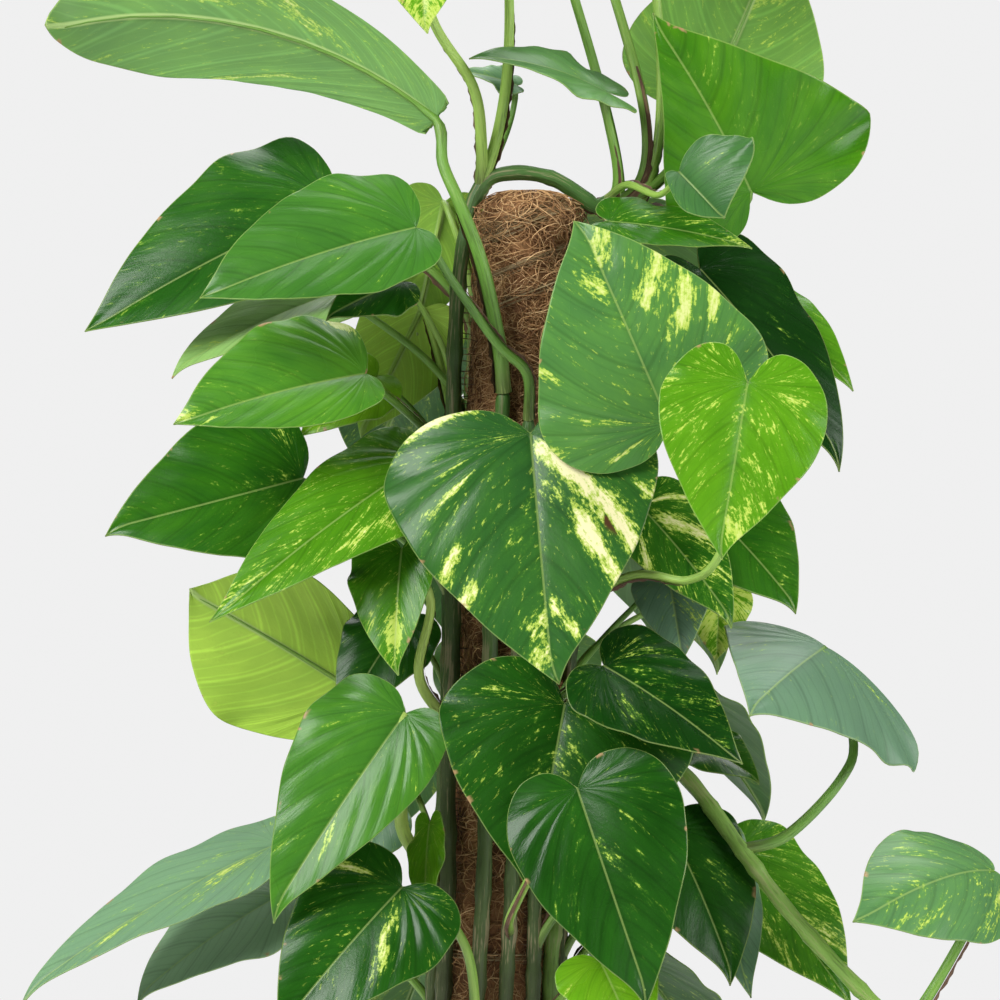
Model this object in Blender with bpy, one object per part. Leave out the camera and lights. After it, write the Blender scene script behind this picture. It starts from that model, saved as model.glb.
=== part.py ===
"""A potted pothos that climbs a coir pole.

Metres, +Z up. The origin is the middle of the pot's foot, and the plant's front looks along -Y.
Every leafy stem is one body: a climbing stem with its leaf stalks and heart-shaped blades.
"""

import math
from dataclasses import dataclass

import bmesh
import bpy
from mathutils import Vector

MM = 0.001
GAP = 0.3

# Pot and soil, mm
POT_HEIGHT = 220.0
POT_RADIUS = 116.0
POT_FOOT_RADIUS = 90.0
POT_WALL = 3.0
POT_FLOOR = 4.0
FOOT_ROUND = 4.0
RIM_DEPTH = 20.0
RIM_OUT = 5.0
RIM_ROUND = 1.5
POT_SIDES = 40
SOIL_LEVEL = 195.0
SOIL_DOME = 4.0

# Pole, mm: it leans a little to the right
POLE_LEAN = 0.0429
CORE_RADIUS = 11.0
CORE_FOOT = 14.0
CORE_TOP = 862.0
COIR_RADIUS = 30.0
COIR_LUMP = 0.7
COIR_FOOT = 120.0
COIR_TOP = 886.0
COIR_SHOULDER = 868.0
COIR_SIDES = 16
COIR_ROWS = 14

# Leafy stems, mm
STEM_SIDES = 6
STEM_STEP = 45.0
STEM_FOOT = 150.0
STALK_SIDES = 4
STALK_STEPS = 4
BLADE_THICKNESS = 1.0
SUNK = 0.16
STALK_NECK = 1.7
STALK_END = 0.7
STEM_TAPER = 0.35
FINE_STEP = 4.0
WIDE_BLADE = 106.0
HOLE_OVER = 12.0
HOLE_GAP = 0.4
SHARP_ANGLE = 40.0

# Half of a blade's outline from notch to tip: along in lengths, aside in widths
OUTLINE = (
    (-0.13, 0.19),
    (-0.10, 0.36),
    (0.02, 0.48),
    (0.21, 0.51),
    (0.46, 0.42),
    (0.70, 0.26),
    (0.89, 0.09),
)
LOBE = 0.13
BELLY_TAPER = 0.75
VEIN_SLANT = 0.5


@dataclass(frozen=True)
class Leaf:
    """One leaf. Lengths are mm and angles are degrees.

    base and tip are the ends of the midrib, and face is the azimuth and elevation of the upper
    surface, with azimuth 0 to the front and 90 to the right. fold lifts each half from the midrib,
    curl bends the halves back down, arch bows the midrib upwards, sweep bows it aside, droop bends
    the tip down, twist turns the blade along its length, wave ripples the edge, lean widens the
    left half (seen with the tip down) when it is below 0, lobe is how far the lobes reach behind
    the stalk, belly moves the widest part towards the tip, and start is the height of the node.
    """

    base: tuple
    tip: tuple
    width: float
    face: tuple
    start: float
    fold: float = 14.0
    curl: float = 24.0
    arch: float = 18.0
    sweep: float = 0.0
    droop: float = 0.0
    twist: float = 0.0
    wave: float = 2.0
    lean: float = 0.0
    lobe: float = 0.11
    belly: float = 0.0
    thick: float = 2.6
    via: tuple = ()


@dataclass(frozen=True)
class Vine:
    """One leafy stem: its route from the soil up, its radius and its leaves."""

    route: tuple
    radius: float
    leaves: dict


def pole_x(z):
    """Where the pole's axis is at height z."""
    return POLE_LEAN * (z - SOIL_LEVEL)


def around(angle, out, z):
    """A point beside the pole: angle 0 is the front and 90 the right, out is mm from its axis."""
    turn = math.radians(angle)
    return (pole_x(z) + out * math.sin(turn), -out * math.cos(turn), z)


def climb(angle, top, foot=STEM_FOOT, out=36.5, wander=2.0):
    """A route that climbs the pole at an angle, with a slight wander."""
    count = max(4, round((top - foot) / 110.0) + 1)
    route = []
    for index in range(count):
        z = foot + (top - foot) * index / (count - 1)
        turn = angle + wander * math.sin(1.9 * index + angle)
        route.append(around(turn, out + 0.8 + 0.8 * math.sin(2.3 * index + angle), z))
    return tuple(route)


def hanging(angle, z, out, length, width, start, hang=50.0, turn=0.0, **more):
    """A leaf that arches out from the pole: hang is how steeply it points down, turn swings it."""
    base = around(angle, out, z)
    swing = math.radians(angle + turn)
    slope = math.radians(hang)
    level = length * math.cos(slope)
    tip = (
        base[0] + level * math.sin(swing),
        base[1] - level * math.cos(swing),
        z - length * math.sin(slope),
    )
    return Leaf(base, tip, width, (angle + turn, 90.0 - hang), start, **more)


VINES = {
    "vine_over_top": Vine(
        radius=5.0,
        route=(
            (-29, -25, 150),
            (-27, -24, 260),
            (-22, -19.5, 400),
            (-19, -20.5, 470),
            (-19, -17.5, 540),
            (-16, -18, 620),
            (-16, -10, 740),
            (-14, -8, 815),
            (-8.5, -6, 860),
            (2, -5.5, 889),
            (20, -6, 896),
            (42, -6, 893),
            (58, -5, 884),
            (70, -5, 876),
            (78, -5, 883),
        ),
        leaves={
            "edge_on": Leaf((75, -22, 944), (-6, -45, 963), 68, (10, 66), 874, arch=30, lobe=0.2),
            "small_grey": Leaf((22, 14, 950), (-12, 8, 958), 30, (0, 60), 878, thick=1.8),
            "top_pale_back": Leaf((139, 40, 943), (184, 72, 1048), 124, (172, 5), 874, fold=8),
            "top_rolled": Leaf((162, -8, 885), (101, -26, 989), 116, (-8, 14), 874, fold=10,
                               curl=20, sweep=-10, lobe=0.17, lean=-0.25, belly=-0.3, thick=3.2,
                               via=((112, 2, 872), (136, 0, 864), (152, -2, 870))),
            "top_small": Leaf((117, -92, 892), (142, -114, 864), 78, (-14, 18), 880, fold=26,
                              thick=2.2, lobe=0.1, lean=0.5, belly=0.6,
                              via=((88, -26, 888), (106, -66, 880))),
            "over_centre": Leaf((77, -32, 866), (162, -40, 850), 50, (0, 54), 872, arch=16),
            "yellow_tip": Leaf((-36, -68, 1038), (-32, -86, 974), 56, (0, 20), 886,
                               via=((1, -14, 912), (-4, -32, 946), (-28, -56, 985))),
            "crown_front": Leaf((16, -22, 1046), (-30, -86, 1062), 92, (-30, 60), 879),
            "crown_right": Leaf((92, 8, 1075), (160, -20, 1120), 88, (40, 55), 879),
            "crown_left": Leaf((38, 14, 1072), (-30, 40, 1128), 90, (-60, 55), 879),
            "crown_back": Leaf((72, 40, 1050), (70, 135, 1045), 104, (178, 62), 876),
            "left_small": Leaf((-46, -62, 671), (-50, -84, 597), 52, (-16, 14), 566, lean=-0.2,
                               thick=3.2, via=((-36, -46, 596), (-29, -50, 640))),
        },
    ),
    "vine_front": Vine(
        radius=5.0,
        route=climb(-17, 768),
        leaves={
            "top_big_pale": Leaf((-26, -26, 927), (-262, -36, 976), 116, (180, 14), 762, arch=24,
                                 sweep=52, droop=60, lean=0.02, lobe=-0.01, belly=0.9, thick=4.0,
                                 via=((11, -42, 795), (1, -45, 841), (-12, -43, 876), (-22, -36, 900))),
            "centre_heart": Leaf((30, -74, 739), (43, -112, 592), 156, (-4, 16), 660, fold=10, lean=-0.1),
            "low_heart": Leaf((50, -84, 580), (30, -108, 472), 146, (0, 14), 520, fold=12,
                              lean=0.05, lobe=0.2),
            "left_glossy": Leaf((-46, -80, 472), (-119, -110, 388), 96, (-8, 24), 370, thick=3.0,
                                via=((-3, -50, 405), (-8, -60, 435), (-22, -70, 456))),
        },
    ),
    "vine_centre": Vine(
        radius=4.5,
        route=climb(9, 752),
        leaves={
            "left_top": Leaf((-38, -62, 861), (-164, -86, 818), 100, (-8, 36), 748, lobe=0.06,
                             lean=-0.12, belly=0.2,
                             thick=3.0,
                             via=((28, -48, 775), (11, -52, 792), (-15, -56, 828))),
            "dark_right": Leaf((73, -100, 603), (153, -120, 546), 84, (15, 42), 540),
            "low_front": Leaf((57, -126, 532), (99, -152, 408), 102, (-6, 14), 444, lean=0.08,
                              via=((18, -86, 455), (30, -124, 482), (46, -128, 512))),
            "low_right_front": Leaf((60, -100, 340), (104, -146, 272), 90, (20, 30), 270),
        },
    ),
    "vine_right_front": Vine(
        radius=4.5,
        route=climb(36, 730),
        leaves={
            "upper_right": Leaf((111, -88, 745), (58, -66, 867), 136, (-6, 18), 668, fold=10,
                                via=((62, -50, 700), (88, -66, 722))),
            "bright_heart": Leaf((156, -122, 768), (138, -146, 666), 97, (4, 12), 626, fold=12, lobe=0.19,
                                 via=((88, -74, 655), (122, -98, 653), (140, -112, 668), (154, -120, 715))),
            "striped": Leaf((95, -44, 697), (151, -72, 626), 66, (20, 25), 600),
            "grey_drop": Leaf((112, -38, 656), (120, -62, 604), 46, (0, 20), 560, thick=2.0),
            "right_low": Leaf((113, -52, 505), (150, -88, 416), 84, (24, 20), 430),
            "bright_low": Leaf((71, -62, 428), (94, -86, 376), 62, (10, 20), 370),
        },
    ),
    "vine_trailing": Vine(
        radius=5.0,
        route=(
            around(64, 37, 150),
            around(64, 37, 250),
            around(65, 37.5, 360),
            around(64, 38, 450),
            (70, -20, 520),
            (96, -28, 546),
            (121, -38, 537),
            (155, -58, 493),
            (181, -68, 459),
            (218, -80, 418),
            (243, -88, 394),
        ),
        leaves={
            "draped": Leaf((206, -30, 613), (156, -118, 577), 134, (32, 52), 494, fold=-6, curl=22,
                           lobe=0.05, lean=0.2, belly=-0.15, thick=3.2,
                           via=((182, -60, 502), (214, -48, 534), (222, -36, 560))),
            "far_right": Leaf((304, -60, 481), (218, -140, 455), 106, (15, 40), 398, fold=-4, curl=20,
                              arch=52, thick=3.4, belly=0.3,
                              via=((246, -80, 388), (262, -74, 404), (290, -62, 450))),
            "trail_end": Leaf((262, -120, 372), (300, -165, 300), 84, (35, 35), 396),
        },
    ),
    "vine_right": Vine(
        radius=4.5,
        route=climb(90, 812),
        leaves={
            "hanging_dark": Leaf((132, -14, 838), (218, -34, 719), 104, (38, 28), 770),
            "hanging_back": Leaf((152, 22, 832), (225, 8, 766), 76, (50, 25), 792),
            "behind_bright": Leaf((131, -22, 700), (190, -42, 634), 86, (26, 22), 650),
            "yellow_drop": Leaf((144, 14, 646), (142, 4, 603), 40, (0, 16), 590, thick=2.0),
            "right_small": Leaf((118, 0, 560), (168, -26, 532), 50, (20, 40), 500, thick=2.0),
            "right_grey_low": Leaf((129, -20, 500), (160, -50, 405), 62, (30, 16), 420),
            "right_pale_low": Leaf((150, 20, 486), (222, -8, 398), 92, (30, 30), 400),
        },
    ),
    "vine_left": Vine(
        radius=4.5,
        route=climb(-98, 762),
        leaves={
            "left_dark_peek": Leaf((-46, -38, 830), (-92, -48, 808), 42, (-10, 30), 758, thick=2.0),
            "left_edge_yellow": Leaf((-68, -50, 775), (-180, -74, 744), 92, (-8, 36), 706, lobe=0.05,
                                     lean=-0.22, belly=0.2),
            "left_mid_dark": Leaf((-106, -16, 713), (-224, -34, 682), 108, (-12, 24), 640,
                                  lobe=0.08, lean=-0.1, sweep=10),
            "left_speckled": Leaf((-34, -48, 723), (-157, -96, 628), 76, (-6, 40), 660, lobe=0.06,
                                  via=((-32, -26, 686), (-34, -40, 708))),
            "left_lower": Leaf((-44, -72, 574), (-124, -98, 454), 84, (-8, 18), 470, lobe=0.07,
                               lean=-0.15, thick=4.2, via=((-46, -34, 505), (-43, -56, 548))),
            "left_grey_low": Leaf((-58, 0, 512), (-74, -18, 470), 42, (-20, 20), 440, thick=2.0),
            "left_light_narrow": Leaf((-30, -50, 508), (-31, -64, 440), 26, (-40, 10), 430,
                                      thick=1.8, via=((-33, -24, 470),)),
            "left_lime_low": Leaf((-54, 12, 544), (-78, 10, 512), 44, (-10, 20), 478, thick=2.0),
        },
    ),
    "vine_left_back": Vine(
        radius=4.5,
        route=climb(-128, 830),
        leaves={
            "far_left_top": Leaf((-90, 20, 878), (-237, 2, 800), 112, (-14, 30), 800, lean=-0.12,
                                 lobe=0.06, thick=3.0),
            "left_narrow": Leaf((-84, 18, 826), (-187, 0, 776), 76, (-10, 60), 745),
            "bright_back": Leaf((-78, 36, 586), (-177, 22, 645), 130, (172, 8), 520, fold=8,
                                lean=-0.12, belly=0.5),
            "dark_back": Leaf((-46, 4, 628), (-84, -14, 566), 60, (-20, 20), 560, thick=2.0),
            "long_grey": Leaf((-122, -8, 494), (-277, -34, 402), 78, (-4, 68), 420, thick=3.0),
            "low_grey": Leaf((-120, 24, 462), (-208, 0, 400), 84, (-12, 56), 380),
            "lime_behind": Leaf((-22, 44, 880), (-40, 50, 800), 62, (176, 0), 812),
            "lime_small": Leaf((-62, 20, 775), (-108, 6, 738), 50, (-10, 30), 700, thick=2.0),
            "pale_back": Leaf((-36, 48, 815), (-74, 40, 738), 66, (172, 0), 690),
        },
    ),
    "vine_back_left": Vine(
        radius=4.5,
        route=climb(-160, 800),
        leaves={
            "back_a": hanging(-146, 790, 112, 116, 96, 710, hang=45, turn=-10),
            "back_b": hanging(-165, 700, 105, 130, 108, 615, hang=52, turn=-14),
            "back_c": hanging(-140, 560, 96, 118, 96, 490, hang=50, turn=-18),
            "back_d": hanging(-165, 450, 110, 124, 100, 370, hang=48, turn=12),
            "back_e": hanging(-140, 350, 108, 110, 90, 270, hang=42, turn=-6),
        },
    ),
    "vine_back": Vine(
        radius=4.5,
        route=climb(168, 840),
        leaves={
            "back_f": hanging(172, 812, 86, 130, 108, 732, hang=50, turn=-8),
            "back_g": hanging(156, 712, 100, 130, 108, 632, hang=50, turn=-12),
            "back_h": hanging(176, 610, 92, 124, 104, 530, hang=46, turn=10),
            "back_i": hanging(158, 500, 104, 120, 98, 420, hang=52, turn=-10),
            "back_j": hanging(178, 350, 112, 116, 94, 270, hang=44, turn=0),
        },
    ),
    "vine_back_right": Vine(
        radius=4.5,
        route=climb(124, 850),
        leaves={
            "back_k": hanging(126, 872, 70, 120, 100, 792, hang=44, turn=24),
            "back_l": hanging(134, 690, 98, 126, 104, 610, hang=50, turn=0),
            "back_m": hanging(112, 590, 100, 120, 100, 510, hang=46, turn=14),
            "back_n": hanging(130, 420, 108, 118, 96, 340, hang=48, turn=0),
            "low_right": hanging(96, 330, 112, 112, 90, 250, hang=44, turn=-4),
        },
    ),
    "vine_low": Vine(
        radius=4.0,
        route=climb(-34, 390, out=46),
        leaves={
            "low_a": hanging(-30, 330, 104, 112, 92, 250, hang=46, turn=0),
            "low_b": hanging(-62, 370, 112, 108, 88, 290, hang=40, turn=-8),
            "low_c": hanging(-6, 300, 112, 100, 84, 230, hang=44, turn=6),
        },
    ),
    "vine_low_right": Vine(
        radius=4.0,
        route=climb(54, 330, out=46),
        leaves={
            "low_d": hanging(26, 274, 108, 96, 84, 234, hang=38, turn=-2),
            "low_e": hanging(62, 300, 114, 104, 86, 230, hang=40, turn=6),
        },
    ),
}


def catmull(points, step):
    """A smooth curve through the points, as Vectors about step apart."""
    points = [Vector(point) for point in points]
    ends = [points[0] * 2 - points[1], *points, points[-1] * 2 - points[-2]]
    curve = [points[0]]
    for index in range(1, len(ends) - 2):
        a, b, c, d = ends[index - 1 : index + 3]
        count = max(1, round((c - b).length / step))
        for part in range(1, count + 1):
            t = part / count
            curve.append(
                0.5
                * (
                    2 * b
                    + (c - a) * t
                    + (2 * a - 5 * b + 4 * c - d) * t**2
                    + (3 * b - a - 3 * c + d) * t**3
                )
            )
    return curve


def tube(bm, centres, radii, sides):
    """Adds a closed tube along the centres to bm."""
    rings = []
    across = None
    for index, centre in enumerate(centres):
        before = centres[max(index - 1, 0)]
        after = centres[min(index + 1, len(centres) - 1)]
        along = (after - before).normalized()
        across = along.orthogonal() if across is None else across - along * across.dot(along)
        across.normalize()
        other = along.cross(across)
        ring = []
        for side in range(sides):
            turn = 2 * math.pi * side / sides
            offset = across * math.cos(turn) + other * math.sin(turn)
            ring.append(bm.verts.new((centre + offset * radii[index]) * MM))
        rings.append(ring)
    for low, high in zip(rings, rings[1:]):
        for side in range(sides):
            nxt = (side + 1) % sides
            bm.faces.new((low[side], low[nxt], high[nxt], high[side]))
    bm.faces.new(tuple(reversed(rings[0])))
    bm.faces.new(tuple(rings[-1]))


class Midrib:
    """The midrib of a blade as a bent line with a frame at each of its points."""

    COUNT = 24

    def __init__(self, leaf):
        base, tip = Vector(leaf.base), Vector(leaf.tip)
        chord = (tip - base).length
        along = (tip - base).normalized()
        azimuth, elevation = (math.radians(angle) for angle in leaf.face)
        normal = Vector(
            (
                math.sin(azimuth) * math.cos(elevation),
                -math.cos(azimuth) * math.cos(elevation),
                math.sin(elevation),
            )
        )
        normal = (normal - along * normal.dot(along)).normalized()
        side = normal.cross(along)
        arch, sweep, droop = (math.radians(a) for a in (leaf.arch, leaf.sweep, leaf.droop))
        flat = [Vector((0.0, 0.0, 0.0))]
        turns = []
        for index in range(self.COUNT + 1):
            s = index / self.COUNT
            pitch = arch * (0.5 - s) - droop * max(0.0, (s - 0.6) / 0.4) ** 2
            yaw = sweep * (0.5 - s)
            turn = Vector(
                (
                    math.cos(pitch) * math.cos(yaw),
                    math.cos(pitch) * math.sin(yaw),
                    math.sin(pitch),
                )
            )
            turns.append(turn)
            flat.append(flat[-1] + turn / self.COUNT)
        end = flat[self.COUNT]
        fit = end.rotation_difference(Vector((1.0, 0.0, 0.0)))
        size = chord / end.length
        self.length = size
        self.frames = []
        for index in range(self.COUNT + 1):
            place = fit @ flat[index] * size
            turn = fit @ turns[index]
            across = Vector((0.0, 0.0, 1.0)).cross(turn).normalized()
            above = turn.cross(across)
            roll = math.radians(leaf.twist) * (index / self.COUNT - 0.3)
            across, above = (
                across * math.cos(roll) + above * math.sin(roll),
                above * math.cos(roll) - across * math.sin(roll),
            )
            self.frames.append(
                tuple(
                    along * v.x + side * v.y + normal * v.z for v in (place, turn, across, above)
                )
            )
        self.base = base

    def at(self, s):
        """Point, direction, side and upward vectors at s lengths from the base."""
        place = min(max(s, 0.0), 1.0) * self.COUNT
        index = min(int(place), self.COUNT - 1)
        mix = place - index
        point, turn, side, up = (
            low.lerp(high, mix) for low, high in zip(self.frames[index], self.frames[index + 1])
        )
        point = point + turn * min(s, 0.0) * self.length
        return self.base + point, turn.normalized(), side.normalized(), up.normalized()


def blade_point(leaf, midrib, along, aside):
    """The point of the blade's upper surface at these flat coordinates, in mm."""
    point, _, side, up = midrib.at(along)
    half = leaf.width / 2
    sign = 1.0 if aside > 0 else -1.0
    reach = abs(aside) * leaf.width * (1 + sign * leaf.lean)
    fold = math.radians(leaf.fold)
    bend = math.radians(leaf.curl) / half
    if abs(bend) < 1e-6:
        out, rise = reach * math.cos(fold), reach * math.sin(fold)
    else:
        out = (math.sin(fold) - math.sin(fold - bend * reach)) / bend
        rise = (math.cos(fold - bend * reach) - math.cos(fold)) / bend
    ripple = leaf.wave * (reach / half) ** 2 * math.sin(2 * math.pi * (1.6 * along + 0.3 * sign))
    return point + side * out * sign + up * (rise + ripple)


def blade_rows(leaf, side):
    """Rows of flat points from the midrib to the edge, notch to tip, on one side."""
    rows = []
    wide = leaf.width >= WIDE_BLADE
    for along, aside in OUTLINE:
        aside *= 1 - BELLY_TAPER * leaf.belly * (1 - max(along, 0.0)) ** 2
        if along < 0:
            along *= leaf.lobe / LOBE
        else:
            along = along ** (1 / (1 + leaf.belly))
        root = max(0.0, along - VEIN_SLANT * aside)
        row = [(root, 0.0)]
        if wide and along < 0.8:
            row.append((root + (along - root) * 0.45, aside * 0.52 * side))
        row.append((along, aside * side))
        rows.append(row)
    rows.append([(1.0, 0.0)])
    return rows


def blade(leaf, midrib):
    """The blade as a bmesh sheet of triangles, on its upper surface."""
    bm = bmesh.new()
    made = {}

    def vertex(flat):
        key = (round(flat[0], 5), round(flat[1], 5))
        if key not in made:
            made[key] = bm.verts.new(blade_point(leaf, midrib, *flat) * MM)
        return made[key]

    def triangle(a, b, c, side):
        corners = []
        for flat in (a, b, c):
            corner = vertex(flat)
            if corner not in corners:
                corners.append(corner)
        if len(corners) == 3:
            bm.faces.new(corners if side > 0 else corners[::-1])

    for side in (1, -1):
        rows = blade_rows(leaf, side)
        for low, high in zip(rows, rows[1:]):
            while len(low) > 1 or len(high) > 1:
                if len(low) >= len(high) and len(low) > 1:
                    triangle(low[0], high[0], low[1], side)
                    low = low[1:]
                else:
                    triangle(low[0], high[0], high[1], side)
                    high = high[1:]
    return bm


def mesh_object(name, bm):
    """A new object from a bmesh."""
    mesh = bpy.data.meshes.new(name)
    bm.to_mesh(mesh)
    bm.free()
    thing = bpy.data.objects.new(name, mesh)
    bpy.context.scene.collection.objects.link(thing)
    return thing


def solid_object(name, bm):
    """A new object from a closed bmesh, with its faces turned out."""
    bmesh.ops.recalc_face_normals(bm, faces=bm.faces)
    return mesh_object(name, bm)


def applied(thing):
    """Gives the object the mesh that its modifiers make, and drops them."""
    graph = bpy.context.evaluated_depsgraph_get()
    mesh = bpy.data.meshes.new_from_object(thing.evaluated_get(graph))
    old = thing.data
    thing.modifiers.clear()
    thing.data = mesh
    bpy.data.meshes.remove(old)
    return thing


def blade_object(name, leaf, midrib):
    """The blade as a thin closed solid."""
    thing = mesh_object(name, blade(leaf, midrib))
    thicken = thing.modifiers.new("thickness", "SOLIDIFY")
    thicken.thickness = BLADE_THICKNESS * MM
    thicken.offset = -1.0
    return applied(thing)


def stem_at(curve, height, towards):
    """The point of the stem at a height, on the side of a place, and its direction there."""
    best = min(
        range(len(curve)),
        key=lambda index: abs(curve[index].z - height) + 0.2 * (curve[index] - towards).length,
    )
    return curve[best], curve[min(best + 1, len(curve) - 1)] - curve[max(best - 1, 0)]


def stalk_points(leaf, midrib, curve):
    """The leaf stalk's centre line from inside the stem to under the midrib."""
    towards = Vector(leaf.via[0] if leaf.via else leaf.base)
    node, along = stem_at(curve, leaf.start, towards)
    point, turn, _, up = midrib.at(0.0)
    under = midrib.at(SUNK)
    inner = under[0] - under[3] * 1.0
    joint = point - up * 1.6
    if leaf.via:
        route = [node, *(Vector(place) for place in leaf.via), joint, inner]
        return catmull(route, max(14.0, (joint - node).length / (STALK_STEPS + 1)))
    span = (joint - node).length
    leave = node + along.normalized() * span * 0.38
    away = Vector((joint.x - node.x, joint.y - node.y, 0.0)) * 0.18
    arrive = joint - turn * span * 0.12 - up * span * 0.22
    centres = []
    for index in range(STALK_STEPS + 1):
        t = index / STALK_STEPS
        centres.append(
            node * (1 - t) ** 3
            + (leave + away) * 3 * t * (1 - t) ** 2
            + arrive * 3 * t**2 * (1 - t)
            + joint * t**3
        )
    centres.append(inner)
    return centres


def vine_curve(vine):
    """The stem's centre line and its radius at each point."""
    curve = catmull(vine.route, STEM_STEP)
    last = len(curve) - 1
    return curve, [vine.radius * (1 - STEM_TAPER * index / last) for index in range(last + 1)]


def vine_object(name, vine):
    """A leafy stem as one body."""
    bm = bmesh.new()
    tube(bm, *vine_curve(vine), STEM_SIDES)
    thing = solid_object(name, bm)
    parts = bpy.data.collections.new(name + "_parts")
    bpy.context.scene.collection.children.link(parts)
    fine = catmull(vine.route, FINE_STEP)
    for leaf_name, leaf in vine.leaves.items():
        midrib = Midrib(leaf)
        centres = stalk_points(leaf, midrib, fine)
        count = len(centres) - 1
        radii = [leaf.thick * (1.15 - 0.35 * index / count) for index in range(count - 1)]
        bm = bmesh.new()
        tube(bm, centres, [*radii, STALK_NECK, STALK_END], STALK_SIDES)
        stalk = solid_object(leaf_name + "_stalk", bm)
        sheet = blade_object(leaf_name + "_blade", leaf, midrib)
        for piece in (stalk, sheet):
            bpy.context.scene.collection.objects.unlink(piece)
            parts.objects.link(piece)
    union = thing.modifiers.new("leaves", "BOOLEAN")
    union.operation = "UNION"
    union.operand_type = "COLLECTION"
    union.collection = parts
    union.solver = "MANIFOLD"
    applied(thing)
    for piece in list(parts.objects):
        bpy.data.objects.remove(piece)
    bpy.data.collections.remove(parts)
    return thing


def turned(profile, sides, lean=False):
    """A bmesh turned round the upright axis from (radius, height) points, foot to top."""
    bm = bmesh.new()
    points = [bm.verts.new((radius * MM, 0.0, height * MM)) for radius, height in profile]
    edges = [bm.edges.new(pair) for pair in zip(points, points[1:])]
    bmesh.ops.spin(
        bm,
        geom=points + edges,
        axis=(0.0, 0.0, 1.0),
        cent=(0.0, 0.0, 0.0),
        angle=2 * math.pi,
        steps=sides,
        use_merge=True,
    )
    bmesh.ops.remove_doubles(bm, verts=bm.verts, dist=1e-6)
    if lean:
        for vertex in bm.verts:
            vertex.co.x += pole_x(vertex.co.z / MM) * MM
    return bm


def pot_object():
    """The grower's pot: a tapered cup with a rim, filled by the soil."""
    inner = POT_RADIUS - POT_WALL
    outer = POT_RADIUS + RIM_OUT
    return solid_object(
        "pot",
        turned(
            (
                (0.0, 0.0),
                (POT_FOOT_RADIUS - FOOT_ROUND, 0.0),
                (POT_FOOT_RADIUS, FOOT_ROUND),
                (POT_RADIUS - 0.6, POT_HEIGHT - RIM_DEPTH),
                (outer - RIM_ROUND, POT_HEIGHT - RIM_DEPTH),
                (outer, POT_HEIGHT - RIM_DEPTH + RIM_ROUND),
                (outer, POT_HEIGHT - RIM_ROUND),
                (outer - RIM_ROUND, POT_HEIGHT),
                (inner + RIM_ROUND, POT_HEIGHT),
                (inner, POT_HEIGHT - RIM_ROUND),
                (soil_radius(POT_FLOOR) + GAP, POT_FLOOR),
                (0.0, POT_FLOOR),
            ),
            POT_SIDES,
        ),
    )


def soil_radius(height):
    """The soil's radius at a height, a gap inside the pot's wall."""
    foot = POT_FOOT_RADIUS - POT_WALL
    rise = (height - POT_FLOOR) / (POT_HEIGHT - RIM_ROUND - POT_FLOOR)
    return foot + (POT_RADIUS - POT_WALL - foot) * rise - GAP


def coir_radius(height, turn):
    """The lumpy outer radius of the coir at a height and an angle in radians."""
    lump = math.sin(3 * turn + height / 37.0) + 0.6 * math.sin(5 * turn - height / 23.0)
    return COIR_RADIUS + COIR_LUMP * lump / 1.6


def coir_object():
    """The coir wound round the stake: a sleeve that is open at its foot, with a domed top."""
    bore = CORE_RADIUS + GAP
    rise = (COIR_SHOULDER - COIR_FOOT) / COIR_ROWS
    rows = [(COIR_RADIUS, COIR_FOOT + rise * row) for row in range(COIR_ROWS + 1)]
    dome = [
        (
            COIR_RADIUS * math.cos(math.radians(angle)),
            COIR_SHOULDER + (COIR_TOP - COIR_SHOULDER) * math.sin(math.radians(angle)),
        )
        for angle in (30, 60, 90)
    ]
    dome[-1] = (0.0, COIR_TOP)
    profile = ((0.0, CORE_TOP + GAP), (bore, CORE_TOP + GAP), (bore, COIR_FOOT), *rows, *dome)
    bm = turned(profile, COIR_SIDES)
    for vertex in bm.verts:
        height = vertex.co.z / MM
        if vertex.co.xy.length > (bore + 1.0) * MM and height <= COIR_SHOULDER:
            turn = math.atan2(vertex.co.y, vertex.co.x)
            vertex.co.xy *= coir_radius(height, turn) / COIR_RADIUS
    for vertex in bm.verts:
        vertex.co.x += pole_x(vertex.co.z / MM) * MM
    return solid_object("coir_sleeve", bm)


def stake_object():
    """The wooden stake inside the coir, which stands in the soil."""
    profile = ((0.0, CORE_FOOT), (CORE_RADIUS, CORE_FOOT), (CORE_RADIUS, CORE_TOP), (0.0, CORE_TOP))
    return solid_object("pole_stake", turned(profile, COIR_SIDES, lean=True))


def hole_cutters():
    """Closed solids of the soil's plain holes: the pole's, stepped at the coir's foot, and the stems'."""
    wide = COIR_RADIUS + COIR_LUMP + GAP
    narrow = CORE_RADIUS + GAP
    above = SOIL_LEVEL + HOLE_OVER
    profile = (
        (0.0, CORE_FOOT - GAP),
        (narrow, CORE_FOOT - GAP),
        (narrow, COIR_FOOT - GAP),
        (wide, COIR_FOOT - GAP),
        (wide, above),
        (0.0, above),
    )
    cutters = [solid_object("pole_hole", turned(profile, COIR_SIDES, lean=True))]
    for name, vine in VINES.items():
        curve, radii = vine_curve(vine)
        inside = [place for place in curve if place.z < above]
        inside.append(curve[len(inside)])
        foot = inside[0] - (inside[1] - inside[0]).normalized() * GAP
        bm = bmesh.new()
        tube(bm, [foot, *inside[1:]], [radius + HOLE_GAP for radius in radii[: len(inside)]], STEM_SIDES)
        cutters.append(solid_object(name + "_hole", bm))
    return cutters


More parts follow.
